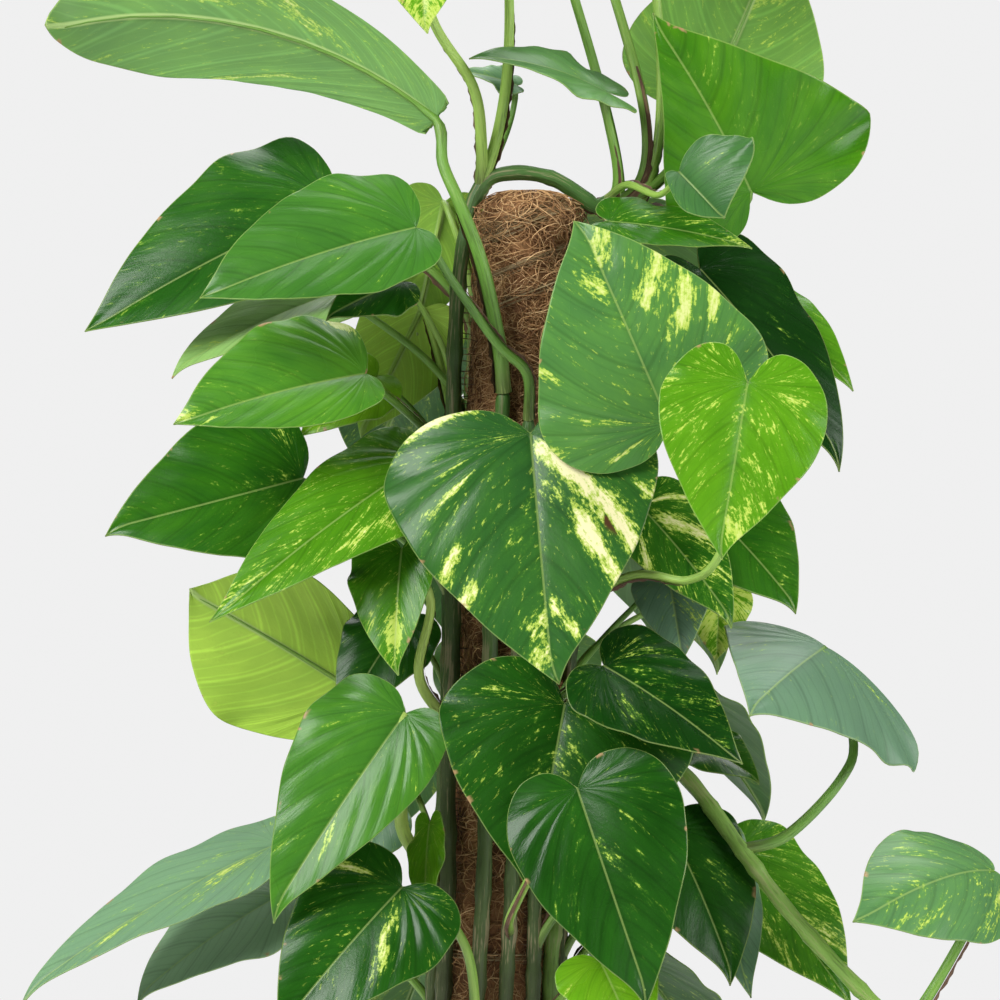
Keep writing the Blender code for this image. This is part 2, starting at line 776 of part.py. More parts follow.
def soil_object():
    """The potting soil that fills the pot, with plain holes for the pole and the stems."""
    soil = solid_object(
        "soil",
        turned(
            (
                (0.0, POT_FLOOR + GAP),
                (soil_radius(POT_FLOOR + GAP), POT_FLOOR + GAP),
                (soil_radius(SOIL_LEVEL - SOIL_DOME), SOIL_LEVEL - SOIL_DOME),
                (soil_radius(SOIL_LEVEL) * 0.7, SOIL_LEVEL),
                (0.0, SOIL_LEVEL),
            ),
            POT_SIDES,
        ),
    )
    for cutter in hole_cutters():
        cut = soil.modifiers.new(cutter.name, "BOOLEAN")
        cut.operation = "DIFFERENCE"
        cut.object = cutter
        applied(soil)
        bpy.data.objects.remove(cutter)
    return soil


def finish(thing, name, colour, roughness):
    """Gives an object its own material and smooth shading with sharp edges."""
    material = bpy.data.materials.new(name)
    material.use_nodes = True
    shader = material.node_tree.nodes["Principled BSDF"]
    shader.inputs["Base Color"].default_value = (*colour, 1.0)
    shader.inputs["Roughness"].default_value = roughness
    shader.inputs["Metallic"].default_value = 0.0
    thing.data.materials.clear()
    thing.data.materials.append(material)
    thing.data.shade_smooth()
    thing.data.set_sharp_from_angle(angle=math.radians(SHARP_ANGLE))


def main():
    """Clears the scene and makes every piece of the potted plant."""
    for thing in list(bpy.data.objects):
        bpy.data.objects.remove(thing)
    finish(pot_object(), "pot_plastic", (0.03, 0.032, 0.035), 0.5)
    finish(soil_object(), "potting_soil", (0.06, 0.04, 0.028), 0.95)
    finish(stake_object(), "stake_wood", (0.35, 0.22, 0.12), 0.7)
    finish(coir_object(), "coir_fibre", (0.24, 0.12, 0.05), 0.9)
    for name, vine in VINES.items():
        finish(vine_object(name, vine), name + "_green", (0.05, 0.19, 0.035), 0.4)


if __name__ == "__main__":
    main()
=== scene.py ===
"""Looks of a potted pothos that climbs a coir pole.

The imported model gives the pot, the soil, the pole and the leafy stems. Here each leafy stem gets
full leaves with veins and marbling, ribbed stems, leaf stalks with dried sheaths and clinging
roots. The pole gets its coir fibres, and the pot and the soil get their surfaces.
Lengths in the tables are millimetres, and meshes are in metres.
"""

import logging
import math
import random
from collections.abc import Callable
from dataclasses import dataclass
from enum import Enum

import bmesh
import bpy
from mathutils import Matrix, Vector


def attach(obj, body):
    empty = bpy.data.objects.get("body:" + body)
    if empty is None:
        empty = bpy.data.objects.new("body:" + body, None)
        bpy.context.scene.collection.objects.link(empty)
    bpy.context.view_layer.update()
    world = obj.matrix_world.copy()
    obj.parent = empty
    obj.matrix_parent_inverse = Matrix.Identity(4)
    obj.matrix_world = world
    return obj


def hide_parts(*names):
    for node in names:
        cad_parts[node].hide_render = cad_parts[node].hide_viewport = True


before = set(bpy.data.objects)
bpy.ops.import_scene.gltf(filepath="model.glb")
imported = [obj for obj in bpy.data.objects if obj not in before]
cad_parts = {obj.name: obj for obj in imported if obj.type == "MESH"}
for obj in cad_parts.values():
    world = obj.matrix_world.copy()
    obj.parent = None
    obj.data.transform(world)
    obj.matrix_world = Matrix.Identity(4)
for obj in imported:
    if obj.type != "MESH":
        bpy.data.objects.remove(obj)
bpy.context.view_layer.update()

log = logging.getLogger("pothos")

MM = 0.001
FULL_TURN = 2 * math.pi

# Pot, soil and pole, mm
POT_HEIGHT = 220.0
POT_RADIUS = 116.0
POT_FOOT_RADIUS = 90.0
POT_WALL = 3.0
POT_FLOOR = 4.0
FOOT_ROUND = 4.0
RIM_DEPTH = 20.0
RIM_OUT = 5.0
RIM_ROUND = 1.5
RIM_BEVEL = 0.4
SOIL_LEVEL = 195.0
SOIL_DOME = 4.0
POLE_LEAN = 0.0429
COIR_RADIUS = 30.0
COIR_FOOT = 120.0
COIR_TOP = 886.0
COIR_SHOULDER = 868.0

# Leafy stems, mm, and where a bent stalk meets the midrib in lengths
STEM_FOOT = 150.0
STEM_TAPER = 0.12
FINE_STEP = 4.0
SUNK = 0.16

# Half of a blade's outline from notch to tip: along in lengths, aside in widths
OUTLINE = (
    (0.0, 0.0), (-0.065, 0.05), (-0.115, 0.115), (-0.135, 0.21), (-0.10, 0.36), (0.02, 0.48),
    (0.21, 0.51), (0.46, 0.42), (0.70, 0.26), (0.89, 0.09), (0.955, 0.035), (1.0, 0.0),
)
NOTCH_GUIDE = (0.065, -0.04)
NOTCH_SHARE = 0.134
LOBE = 0.13
BELLY_TAPER = 0.75
OUTLINE_STEP = 1.2
VEIN_SLANT = 1.2
VEIN_BEND = 2.2
HOOK_START = 0.86


@dataclass(frozen=True)
class Leaf:
    """One leaf, in mm and degrees.

    base and tip are the ends of the midrib, and face is the azimuth and elevation of the upper
    surface, with azimuth 0 to the front and 90 to the right. start is the height of the node. fold
    lifts each half from the midrib, curl bends the halves back down, arch bows the midrib upwards,
    sweep bows it aside, droop bends the tip down, lean widens the left half (seen with the tip
    down) when it is below 0, lobe is how far the lobes reach behind the stalk, belly moves the
    widest part towards the tip, thick is the stalk's radius, and via holds places that the stalk
    passes.
    """

    base: tuple[float, float, float]
    tip: tuple[float, float, float]
    width: float
    face: tuple[float, float]
    start: float
    fold: float = 14.0
    curl: float = 24.0
    arch: float = 18.0
    sweep: float = 0.0
    droop: float = 0.0
    lean: float = 0.0
    lobe: float = 0.11
    belly: float = 0.0
    thick: float = 2.6
    via: tuple = ()


@dataclass(frozen=True)
class Vine:
    """One leafy stem: its radius, its route from the soil up and its leaves."""

    radius: float
    route: tuple
    leaves: dict[str, Leaf]


@dataclass(frozen=True)
class Look:
    """How one blade is coloured, each value from 0 to 1 unless it says otherwise.

    tone runs from deep green to lime, marble is how much of the blade is marbled, cream turns the
    marbling from lime to cream, the grey sheen value mixes a grey-green into the green as a painted
    sheen, bias from -1 to 1 moves the marbling to one half, tip adds marbling there, quilt is the
    height of the relief in mm, and spot is a brown spot's place. Each streak is a side (1 is right
    with the tip down), a vein from 0 at the notch to 1 at the tip, its spread, where it starts and
    ends between midrib and edge, and its strength.
    """

    tone: float = 0.35
    marble: float = 0.25
    cream: float = 0.4
    grey: float = 0.0
    bias: float = 0.0
    tip: float = 0.0
    quilt: float = 0.5
    spot: tuple = ()
    streaks: tuple = ()


# The fourth value of each look, its grey sheen, is a painted sheen: it pales leaves that face the overhead
# light towards grey-green.
LOOKS = {
    "top_big_pale": Look(0.46, 0.2, 0.8, 0.14, quilt=0.8, streaks=((1, 0.62, 0.05, 0.3, 0.8, 0.4),
        (-1, 0.5, 0.04, 0.6, 1, 0.4))),
    "edge_on": Look(0.45, 0.05, grey=0.25),
    "small_grey": Look(0.4, 0.05, grey=0.5),
    "top_pale_back": Look(0.5, 0.2, quilt=1.0),
    "top_rolled": Look(0.42, 0.06, bias=-0.4, quilt=1.0),
    "top_small": Look(0.27, 0.05, grey=0.15),
    "over_centre": Look(0.3, 0.12, tip=0.3),
    "yellow_tip": Look(0.6, 0.25, 0.2, tip=0.4),
    "left_small": Look(0.42, 0.2, 0.1, tip=0.1, streaks=((-1, 0.86, 0.08, 0, 0.6, 0.5),
        (1, 0.86, 0.08, 0, 0.6, 0.5))),
    "centre_heart": Look(0.24, 0.16, 0.9, 0.06, quilt=1.7, spot=(0.60, 0.80),
        streaks=((1, 0.57, 0.036, 0.08, 1.1, 0.8), (1, 0.5, 0.02, 0.5, 0.9, 0.35),
        (1, 0.67, 0.032, 0.5, 1.1, 0.8), (1, 0.64, 0.022, 0.05, 0.75, 0.42),
        (1, 0.86, 0.022, 0.15, 0.9, 0.7), (-1, 0.88, 0.025, 0, 0.6, 0.55), (-1, 0.94, 0.022, 0, 1.1, 0.55),
        (-1, 0.40, 0.014, 0.35, 0.62, 0.5), (-1, 0.5, 0.016, 0.45, 0.75, 0.62),
        (-1, 0.62, 0.012, 0.82, 0.95, 0.7), (-1, 0.7, 0.016, 0.86, 1.1, 0.8),
        (-1, 0.10, 0.13, 0.93, 1.1, 0.9), (1, 0.42, 0.03, 0.88, 1.1, 0.6), (1, 0.2, 0.03, 0.3, 0.8, 0.2))),
    "low_heart": Look(0.15, 0.17, 0.7, quilt=1.1, streaks=((1, 0.3, 0.14, 0.3, 0.95, 0.22),
        (-1, 0.33, 0.02, 0.3, 0.55, 0.5), (-1, 0.28, 0.02, 0.55, 0.75, 0.5))),
    "left_glossy": Look(0.17, 0.14, 0.6, quilt=1.3, streaks=((-1, 0.3, 0.04, 0.35, 0.8, 0.6),
        (1, 0.62, 0.03, 0.3, 0.8, 0.4))),
    "left_top": Look(0.37, 0.05, 0.3, 0.06, quilt=1.5),
    "dark_right": Look(0.0, 0.1, 0.8, quilt=0.9, streaks=((1, 0.4, 0.05, 0.2, 0.8, 0.3),
        (1, 0.25, 0.03, 0.3, 0.7, 0.4))),
    "low_front": Look(0.12, 0.06, 0.3, quilt=1.4, streaks=((1, 0.56, 0.015, 0.3, 0.62, 0.62),
        (1, 0.68, 0.02, 0.1, 0.4, 0.45), (-1, 0.2, 0.02, 0.4, 0.7, 0.3))),
    "low_right_front": Look(0.4, 0.2),
    "upper_right": Look(0.44, 0.16, 0.45, 0.18, quilt=2.3, streaks=((-1, 0.74, 0.034, 0.4, 1.1, 0.6),
        (-1, 0.63, 0.024, 0.62, 0.95, 0.42), (-1, 0.53, 0.026, 0.86, 1.1, 0.5),
        (-1, 0.47, 0.016, 0.2, 0.65, 0.4), (-1, 0.66, 0.02, 0.25, 0.6, 0.25),
        (1, 0.85, 0.025, 0.15, 0.8, 0.4), (1, 0.52, 0.024, 0.86, 1.1, 0.7),
        (1, 0.43, 0.018, 0.12, 0.5, 0.55), (1, 0.4, 0.016, 0.65, 0.9, 0.55),
        (1, 0.12, 0.022, 0.35, 0.8, 0.7), (1, 0.24, 0.014, 0.05, 0.3, 0.6), (1, 0.28, 0.04, 0.94, 1.1, 0.7),
        (-1, 0.93, 0.04, 0, 1.1, 0.4))),
    "bright_heart": Look(0.55, 0.2, 0.25, quilt=0.9, streaks=((-1, 0.45, 0.12, 0.75, 1.1, 0.2),
        (1, 0.35, 0.12, 0.4, 1, 0.15), (1, 0.9, 0.08, 0, 1, 0.25))),
    "striped": Look(0.25, 0.3, 0.7, streaks=((1, 0.3, 0.05, 0.1, 1, 0.5), (-1, 0.5, 0.05, 0.1, 1, 0.5),
        (1, 0.6, 0.05, 0.1, 1, 0.5))),
    "grey_drop": Look(0.3, 0.15, grey=0.6),
    "right_low": Look(0.12, 0.05, quilt=0.9),
    "bright_low": Look(0.66, 0.1),
    "draped": Look(0.28, 0.1, 0.4, 0.6, quilt=1.0, streaks=((1, 0.3, 0.03, 0.1, 0.5, 0.4),)),
    "far_right": Look(0.42, 0.16, 0.4, 0.3, quilt=1.2, streaks=((1, 0.5, 0.1, 0.4, 0.9, 0.3),
        (-1, 0.6, 0.08, 0.3, 0.8, 0.25))),
    "trail_end": Look(0.45, 0.3),
    "hanging_dark": Look(0.0, 0.02),
    "hanging_back": Look(0.5, 0.1),
    "behind_bright": Look(0.3, 0.08),
    "yellow_drop": Look(0.6, 0.6, 0.15),
    "right_small": Look(0.35, 0.2),
    "right_grey_low": Look(0.3, 0.1, grey=0.5),
    "right_pale_low": Look(0.42, 0.3, 0.7, streaks=((-1, 0.3, 0.15, 0.3, 1.1, 0.5),)),
    "left_dark_peek": Look(0.15, 0.1),
    "left_edge_yellow": Look(0.45, 0.08, 0.3, 0.05, quilt=1.0, streaks=((-1, 0.12, 0.09, 0.84, 1.1, 0.9),
        (-1, 0.97, 0.04, 0, 1.1, 0.6), (1, 0.88, 0.05, 0.5, 1.1, 0.35))),
    "left_mid_dark": Look(0.27, 0.08, 0.2, quilt=1.4, streaks=((-1, 0.3, 0.03, 0.5, 0.8, 0.45),)),
    "left_speckled": Look(0.5, 0.24, 0.6, quilt=1.0, streaks=((1, 0.55, 0.25, 0.55, 1.1, 0.24),
        (-1, 0.9, 0.06, 0, 1, 0.35))),
    "left_lower": Look(0.42, 0.06, 0.2, 0.05, quilt=1.1, streaks=((1, 0.8, 0.03, 0.1, 0.6, 0.6),
        (1, 0.6, 0.02, 0.1, 0.3, 0.4))),
    "left_grey_low": Look(0.3, 0.15, grey=0.5),
    "left_light_narrow": Look(0.6, 0.2),
    "left_lime_low": Look(0.4, 0.55, 0.5),
    "far_left_top": Look(0.2, 0.08, 0.1, quilt=0.5),
    "left_narrow": Look(0.9, 0.1, grey=0.45),
    "bright_back": Look(0.95, 0.16, 0.1, quilt=0.9),
    "dark_back": Look(0.2, 0.05),
    "long_grey": Look(0.5, 0.12, 0.4, 0.7, streaks=((1, 0.6, 0.05, 0.15, 0.7, 0.4),
        (1, 0.8, 0.04, 0.1, 0.6, 0.5))),
    "low_grey": Look(1.0, 0.06, grey=0.95),
    "lime_behind": Look(0.7, 0.3, 0.3),
    "lime_small": Look(0.75, 0.2, 0.2),
    "pale_back": Look(0.95, 0.25, 0.3, grey=0.1),
}


def pole_x(z: float) -> float:
    """Where the pole's axis is at height z."""
    return POLE_LEAN * (z - SOIL_LEVEL)


def around(angle: float, out: float, z: float) -> tuple[float, float, float]:
    """A point beside the pole: angle 0 is the front and 90 the right, out is mm from its axis."""
    turn = math.radians(angle)
    return (pole_x(z) + out * math.sin(turn), -out * math.cos(turn), z)


def climb(angle: float, top: float, out: float = 36.5) -> tuple:
    """A route that climbs the pole with a slight wander.

    Args:
        angle: the side of the pole, in degrees.
        top: how high it ends.
        out: how far it stays from the pole's axis.

    Returns:
        The route's points.
    """
    count = max(4, round((top - STEM_FOOT) / 110.0) + 1)
    route = []
    for index in range(count):
        z = STEM_FOOT + (top - STEM_FOOT) * index / (count - 1)
        turn = angle + 2.0 * math.sin(1.9 * index + angle)
        route.append(around(turn, out + 0.8 + 0.8 * math.sin(2.3 * index + angle), z))
    return tuple(route)


def hanging(angle: float, z: float, out: float, length: float, width: float, start: float,
            hang: float, turn: float) -> Leaf:
    """A leaf that arches out from the pole.

    Args:
        angle: the side of the pole, in degrees.
        z: the height of its base.
        out: how far its base is from the pole's axis.
        length: its length.
        width: its width.
        start: the height of its node.
        hang: how steeply it points down, in degrees.
        turn: how far it swings aside, in degrees.

    Returns:
        The leaf.
    """
    base = around(angle, out, z)
    swing, slope = math.radians(angle + turn), math.radians(hang)
    level = length * math.cos(slope)
    tip = (base[0] + level * math.sin(swing), base[1] - level * math.cos(swing), z - length * math.sin(slope))
    return Leaf(base, tip, width, (angle + turn, 90.0 - hang), start)


VINES = {
    "vine_over_top": Vine(5.0, (
        (-29, -25, 150), (-27, -24, 260), (-22, -19.5, 400), (-19, -20.5, 470), (-19, -17.5, 540),
        (-16, -18, 620), (-16, -10, 740), (-14, -8, 815), (-8.5, -6, 860), (2, -5.5, 889), (20, -6, 896),
        (42, -6, 893), (58, -5, 884), (70, -5, 876), (78, -5, 883),
    ), {
        "edge_on": Leaf((75, -22, 944), (-6, -45, 963), 68, (10, 66), 874, arch=30, lobe=0.2),
        "small_grey": Leaf((22, 14, 950), (-12, 8, 958), 30, (0, 60), 878, thick=1.8),
        "top_pale_back": Leaf((139, 40, 943), (184, 72, 1048), 124, (172, 5), 874, fold=8),
        "top_rolled": Leaf((162, -8, 885), (101, -26, 989), 116, (-8, 14), 874, fold=10, curl=20, sweep=-10,
            lobe=0.17, lean=-0.25, belly=-0.3, thick=3.2, via=((112, 2, 872), (136, 0, 864),
            (152, -2, 870))),
        "top_small": Leaf((117, -92, 892), (142, -114, 864), 78, (-14, 18), 880, fold=26, thick=2.2,
            lobe=0.1, lean=0.5, belly=0.6, via=((88, -26, 888), (106, -66, 880))),
        "over_centre": Leaf((77, -32, 866), (162, -40, 850), 50, (0, 54), 872, arch=16),
        "yellow_tip": Leaf((-36, -68, 1038), (-32, -86, 974), 56, (0, 20), 886, via=((1, -14, 912),
            (-4, -32, 946), (-28, -56, 985))),
        "crown_front": Leaf((16, -22, 1046), (-30, -86, 1062), 92, (-30, 60), 879),
        "crown_right": Leaf((92, 8, 1075), (160, -20, 1120), 88, (40, 55), 879),
        "crown_left": Leaf((38, 14, 1072), (-30, 40, 1128), 90, (-60, 55), 879),
        "crown_back": Leaf((72, 40, 1050), (70, 135, 1045), 104, (178, 62), 876),
        "left_small": Leaf((-46, -62, 671), (-50, -84, 597), 52, (-16, 14), 566, lean=-0.2, thick=3.2,
            via=((-36, -46, 596), (-29, -50, 640))),
    }),
    "vine_front": Vine(5.0, climb(-17, 768), {
        "top_big_pale": Leaf((-26, -26, 927), (-262, -36, 976), 116, (180, 14), 762, arch=24, sweep=52,
            droop=60, lean=0.02, lobe=-0.01, belly=0.9, thick=4.0, via=((11, -42, 795), (1, -45, 841),
            (-12, -43, 876), (-22, -36, 900))),
        "centre_heart": Leaf((30, -74, 739), (43, -112, 592), 156, (-4, 16), 660, fold=10, lean=-0.1),
        "low_heart": Leaf((50, -84, 580), (30, -108, 472), 146, (0, 14), 520, fold=12, lean=0.05, lobe=0.2),
        "left_glossy": Leaf((-46, -80, 472), (-119, -110, 388), 96, (-8, 24), 370, thick=3.0,
            via=((-3, -50, 405), (-8, -60, 435), (-22, -70, 456))),
    }),
    "vine_centre": Vine(4.5, climb(9, 752), {
        "left_top": Leaf((-38, -62, 861), (-164, -86, 818), 100, (-8, 36), 748, lobe=0.06, lean=-0.12,
            belly=0.2, thick=3.0, via=((28, -48, 775), (11, -52, 792), (-15, -56, 828))),
        "dark_right": Leaf((73, -100, 603), (153, -120, 546), 84, (15, 42), 540),
        "low_front": Leaf((57, -126, 532), (99, -152, 408), 102, (-6, 14), 444, lean=0.08,
            via=((18, -86, 455), (30, -124, 482), (46, -128, 512))),
        "low_right_front": Leaf((60, -100, 340), (104, -146, 272), 90, (20, 30), 270),
    }),
    "vine_right_front": Vine(4.5, climb(36, 730), {
        "upper_right": Leaf((111, -88, 745), (58, -66, 867), 136, (-6, 18), 668, fold=10,
            via=((62, -50, 700), (88, -66, 722))),
        "bright_heart": Leaf((156, -122, 768), (138, -146, 666), 97, (4, 12), 626, fold=12, lobe=0.19,
            via=((88, -74, 655), (122, -98, 653), (140, -112, 668), (154, -120, 715))),
        "striped": Leaf((95, -44, 697), (151, -72, 626), 66, (20, 25), 600),
        "grey_drop": Leaf((112, -38, 656), (120, -62, 604), 46, (0, 20), 560, thick=2.0),
        "right_low": Leaf((113, -52, 505), (150, -88, 416), 84, (24, 20), 430),
        "bright_low": Leaf((71, -62, 428), (94, -86, 376), 62, (10, 20), 370),
    }),
    "vine_trailing": Vine(5.0, (
        around(64, 37, 150), around(64, 37, 250), around(65, 37.5, 360), around(64, 38, 450),
        (70, -20, 520), (96, -28, 546), (121, -38, 537), (155, -58, 493), (181, -68, 459), (218, -80, 418),
        (243, -88, 394),
    ), {
        "draped": Leaf((206, -30, 613), (156, -118, 577), 134, (32, 52), 494, fold=-6, curl=22, lobe=0.05,
            lean=0.2, belly=-0.15, thick=3.2, via=((182, -60, 502), (214, -48, 534), (222, -36, 560))),
        "far_right": Leaf((304, -60, 481), (218, -140, 455), 106, (15, 40), 398, fold=-4, curl=20, arch=52,
            thick=3.4, belly=0.3, via=((246, -80, 388), (262, -74, 404), (290, -62, 450))),
        "trail_end": Leaf((262, -120, 372), (300, -165, 300), 84, (35, 35), 396),
    }),
    "vine_right": Vine(4.5, climb(90, 812), {
        "hanging_dark": Leaf((132, -14, 838), (218, -34, 719), 104, (38, 28), 770),
        "hanging_back": Leaf((152, 22, 832), (225, 8, 766), 76, (50, 25), 792),
        "behind_bright": Leaf((131, -22, 700), (190, -42, 634), 86, (26, 22), 650),
        "yellow_drop": Leaf((144, 14, 646), (142, 4, 603), 40, (0, 16), 590, thick=2.0),
        "right_small": Leaf((118, 0, 560), (168, -26, 532), 50, (20, 40), 500, thick=2.0),
        "right_grey_low": Leaf((129, -20, 500), (160, -50, 405), 62, (30, 16), 420),
        "right_pale_low": Leaf((150, 20, 486), (222, -8, 398), 92, (30, 30), 400),
    }),
    "vine_left": Vine(4.5, climb(-98, 762), {
        "left_dark_peek": Leaf((-46, -38, 830), (-92, -48, 808), 42, (-10, 30), 758, thick=2.0),
        "left_edge_yellow": Leaf((-68, -50, 775), (-180, -74, 744), 92, (-8, 36), 706, lobe=0.05,
            lean=-0.22, belly=0.2),
        "left_mid_dark": Leaf((-106, -16, 713), (-224, -34, 682), 108, (-12, 24), 640, lobe=0.08, lean=-0.1,
            sweep=10),
        "left_speckled": Leaf((-34, -48, 723), (-157, -96, 628), 76, (-6, 40), 660, lobe=0.06,
            via=((-32, -26, 686), (-34, -40, 708))),
        "left_lower": Leaf((-44, -72, 574), (-124, -98, 454), 84, (-8, 18), 470, lobe=0.07, lean=-0.15,
            thick=4.2, via=((-46, -34, 505), (-43, -56, 548))),
        "left_grey_low": Leaf((-58, 0, 512), (-74, -18, 470), 42, (-20, 20), 440, thick=2.0),
        "left_light_narrow": Leaf((-30, -50, 508), (-31, -64, 440), 26, (-40, 10), 430, thick=1.8,
            via=((-33, -24, 470),)),
        "left_lime_low": Leaf((-54, 12, 544), (-78, 10, 512), 44, (-10, 20), 478, thick=2.0),
    }),
    "vine_left_back": Vine(4.5, climb(-128, 830), {
        "far_left_top": Leaf((-90, 20, 878), (-237, 2, 800), 112, (-14, 30), 800, lean=-0.12, lobe=0.06,
            thick=3.0),
        "left_narrow": Leaf((-84, 18, 826), (-187, 0, 776), 76, (-10, 60), 745),
        "bright_back": Leaf((-78, 36, 586), (-177, 22, 645), 130, (172, 8), 520, fold=8, lean=-0.12,
            belly=0.5),
        "dark_back": Leaf((-46, 4, 628), (-84, -14, 566), 60, (-20, 20), 560, thick=2.0),
        "long_grey": Leaf((-122, -8, 494), (-277, -34, 402), 78, (-4, 68), 420, thick=3.0),
        "low_grey": Leaf((-120, 24, 462), (-208, 0, 400), 84, (-12, 56), 380),
        "lime_behind": Leaf((-22, 44, 880), (-40, 50, 800), 62, (176, 0), 812),
        "lime_small": Leaf((-62, 20, 775), (-108, 6, 738), 50, (-10, 30), 700, thick=2.0),
        "pale_back": Leaf((-36, 48, 815), (-74, 40, 738), 66, (172, 0), 690),
    }),
    "vine_back_left": Vine(4.5, climb(-160, 800), {
        "back_a": hanging(-146, 790, 112, 116, 96, 710, 45, -10),
        "back_b": hanging(-165, 700, 105, 130, 108, 615, 52, -14),
        "back_c": hanging(-140, 560, 96, 118, 96, 490, 50, -18),
        "back_d": hanging(-165, 450, 110, 124, 100, 370, 48, 12),
        "back_e": hanging(-140, 350, 108, 110, 90, 270, 42, -6),
    }),
    "vine_back": Vine(4.5, climb(168, 840), {
        "back_f": hanging(172, 812, 86, 130, 108, 732, 50, -8),
        "back_g": hanging(156, 712, 100, 130, 108, 632, 50, -12),
        "back_h": hanging(176, 610, 92, 124, 104, 530, 46, 10),
        "back_i": hanging(158, 500, 104, 120, 98, 420, 52, -10),
        "back_j": hanging(178, 350, 112, 116, 94, 270, 44, 0),
    }),
    "vine_back_right": Vine(4.5, climb(124, 850), {
        "back_k": hanging(126, 872, 70, 120, 100, 792, 44, 24),
        "back_l": hanging(134, 690, 98, 126, 104, 610, 50, 0),
        "back_m": hanging(112, 590, 100, 120, 100, 510, 46, 14),
        "back_n": hanging(130, 420, 108, 118, 96, 340, 48, 0),
        "low_right": hanging(96, 330, 112, 112, 90, 250, 44, -4),
    }),
    "vine_low": Vine(4.0, climb(-34, 390, out=46), {
        "low_a": hanging(-30, 330, 104, 112, 92, 250, 46, 0),
        "low_b": hanging(-62, 370, 112, 108, 88, 290, 40, -8),
        "low_c": hanging(-6, 300, 112, 100, 84, 230, 44, 6),
    }),
    "vine_low_right": Vine(4.0, climb(54, 330, out=46), {
        "low_d": hanging(26, 274, 108, 96, 84, 234, 38, -2),
        "low_e": hanging(62, 300, 114, 104, 86, 230, 40, 6),
    }),
}


class Tint(Enum):
    """Named colours of the plant, and of the sheen and shade painted on it, as linear red, green and blue."""

    LIME = (0.46, 0.60, 0.085)
    CREAM = (0.78, 0.74, 0.42)
    PALE_LINE = (0.34, 0.46, 0.13)
    PALE_VEIN = (0.40, 0.54, 0.20)
    # painted sheen: the grey-green that pales leaves facing the overhead light
    SHEEN_GREY_GREEN = (0.20, 0.31, 0.24)
    MID_GREEN = (0.13, 0.32, 0.025)
    TAN = (0.34, 0.22, 0.10)
    BROWN = (0.075, 0.036, 0.016)
    RIB_SHADOW = (0.72, 0.76, 0.72)
    # painted shade in the grooves of the strands' relief
    GROOVE_SHADE = (0.03, 0.03, 0.012)


class Section(Enum):
    """Cross-sections that a strand can have."""

    ROUND = 0
    RIDGED = 1
    CHANNELLED = 2


class Skin(Enum):
    """Finishes of the stems pieces, in the order of their material slots."""

    STEM = 0
    STALK = 1
    SHEATH = 2
    ROOT = 3


STALK_TINTS = {
    "top_big_pale": 0.36, "left_top": 0.25, "left_small": 0.95, "left_lower": 0.9, "bright_heart": 0.7,
    "yellow_tip": 0.75, "crown_front": 0.7, "crown_right": 0.65, "far_right": 0.45, "draped": 0.3,
}
UPPER_GREENS = (
    (0.0, (0.004, 0.034, 0.002)), (0.2, (0.014, 0.085, 0.005)), (0.4, (0.038, 0.16, 0.005)),
    (0.6, (0.094, 0.28, 0.007)), (0.8, (0.18, 0.40, 0.012)), (1.0, (0.29, 0.53, 0.04)),
)
LOWER_GREENS = (
    (0.0, (0.03, 0.085, 0.03)), (0.3, (0.07, 0.18, 0.04)), (0.5, (0.12, 0.27, 0.045)),
    (0.8, (0.26, 0.46, 0.05)), (1.0, (0.40, 0.62, 0.07)),
)
COIR_BROWNS = (
    (0.0, (0.06, 0.024, 0.008)), (0.3, (0.22, 0.10, 0.034)), (0.65, (0.48, 0.27, 0.11)),
    (1.0, (0.74, 0.50, 0.25)),
)


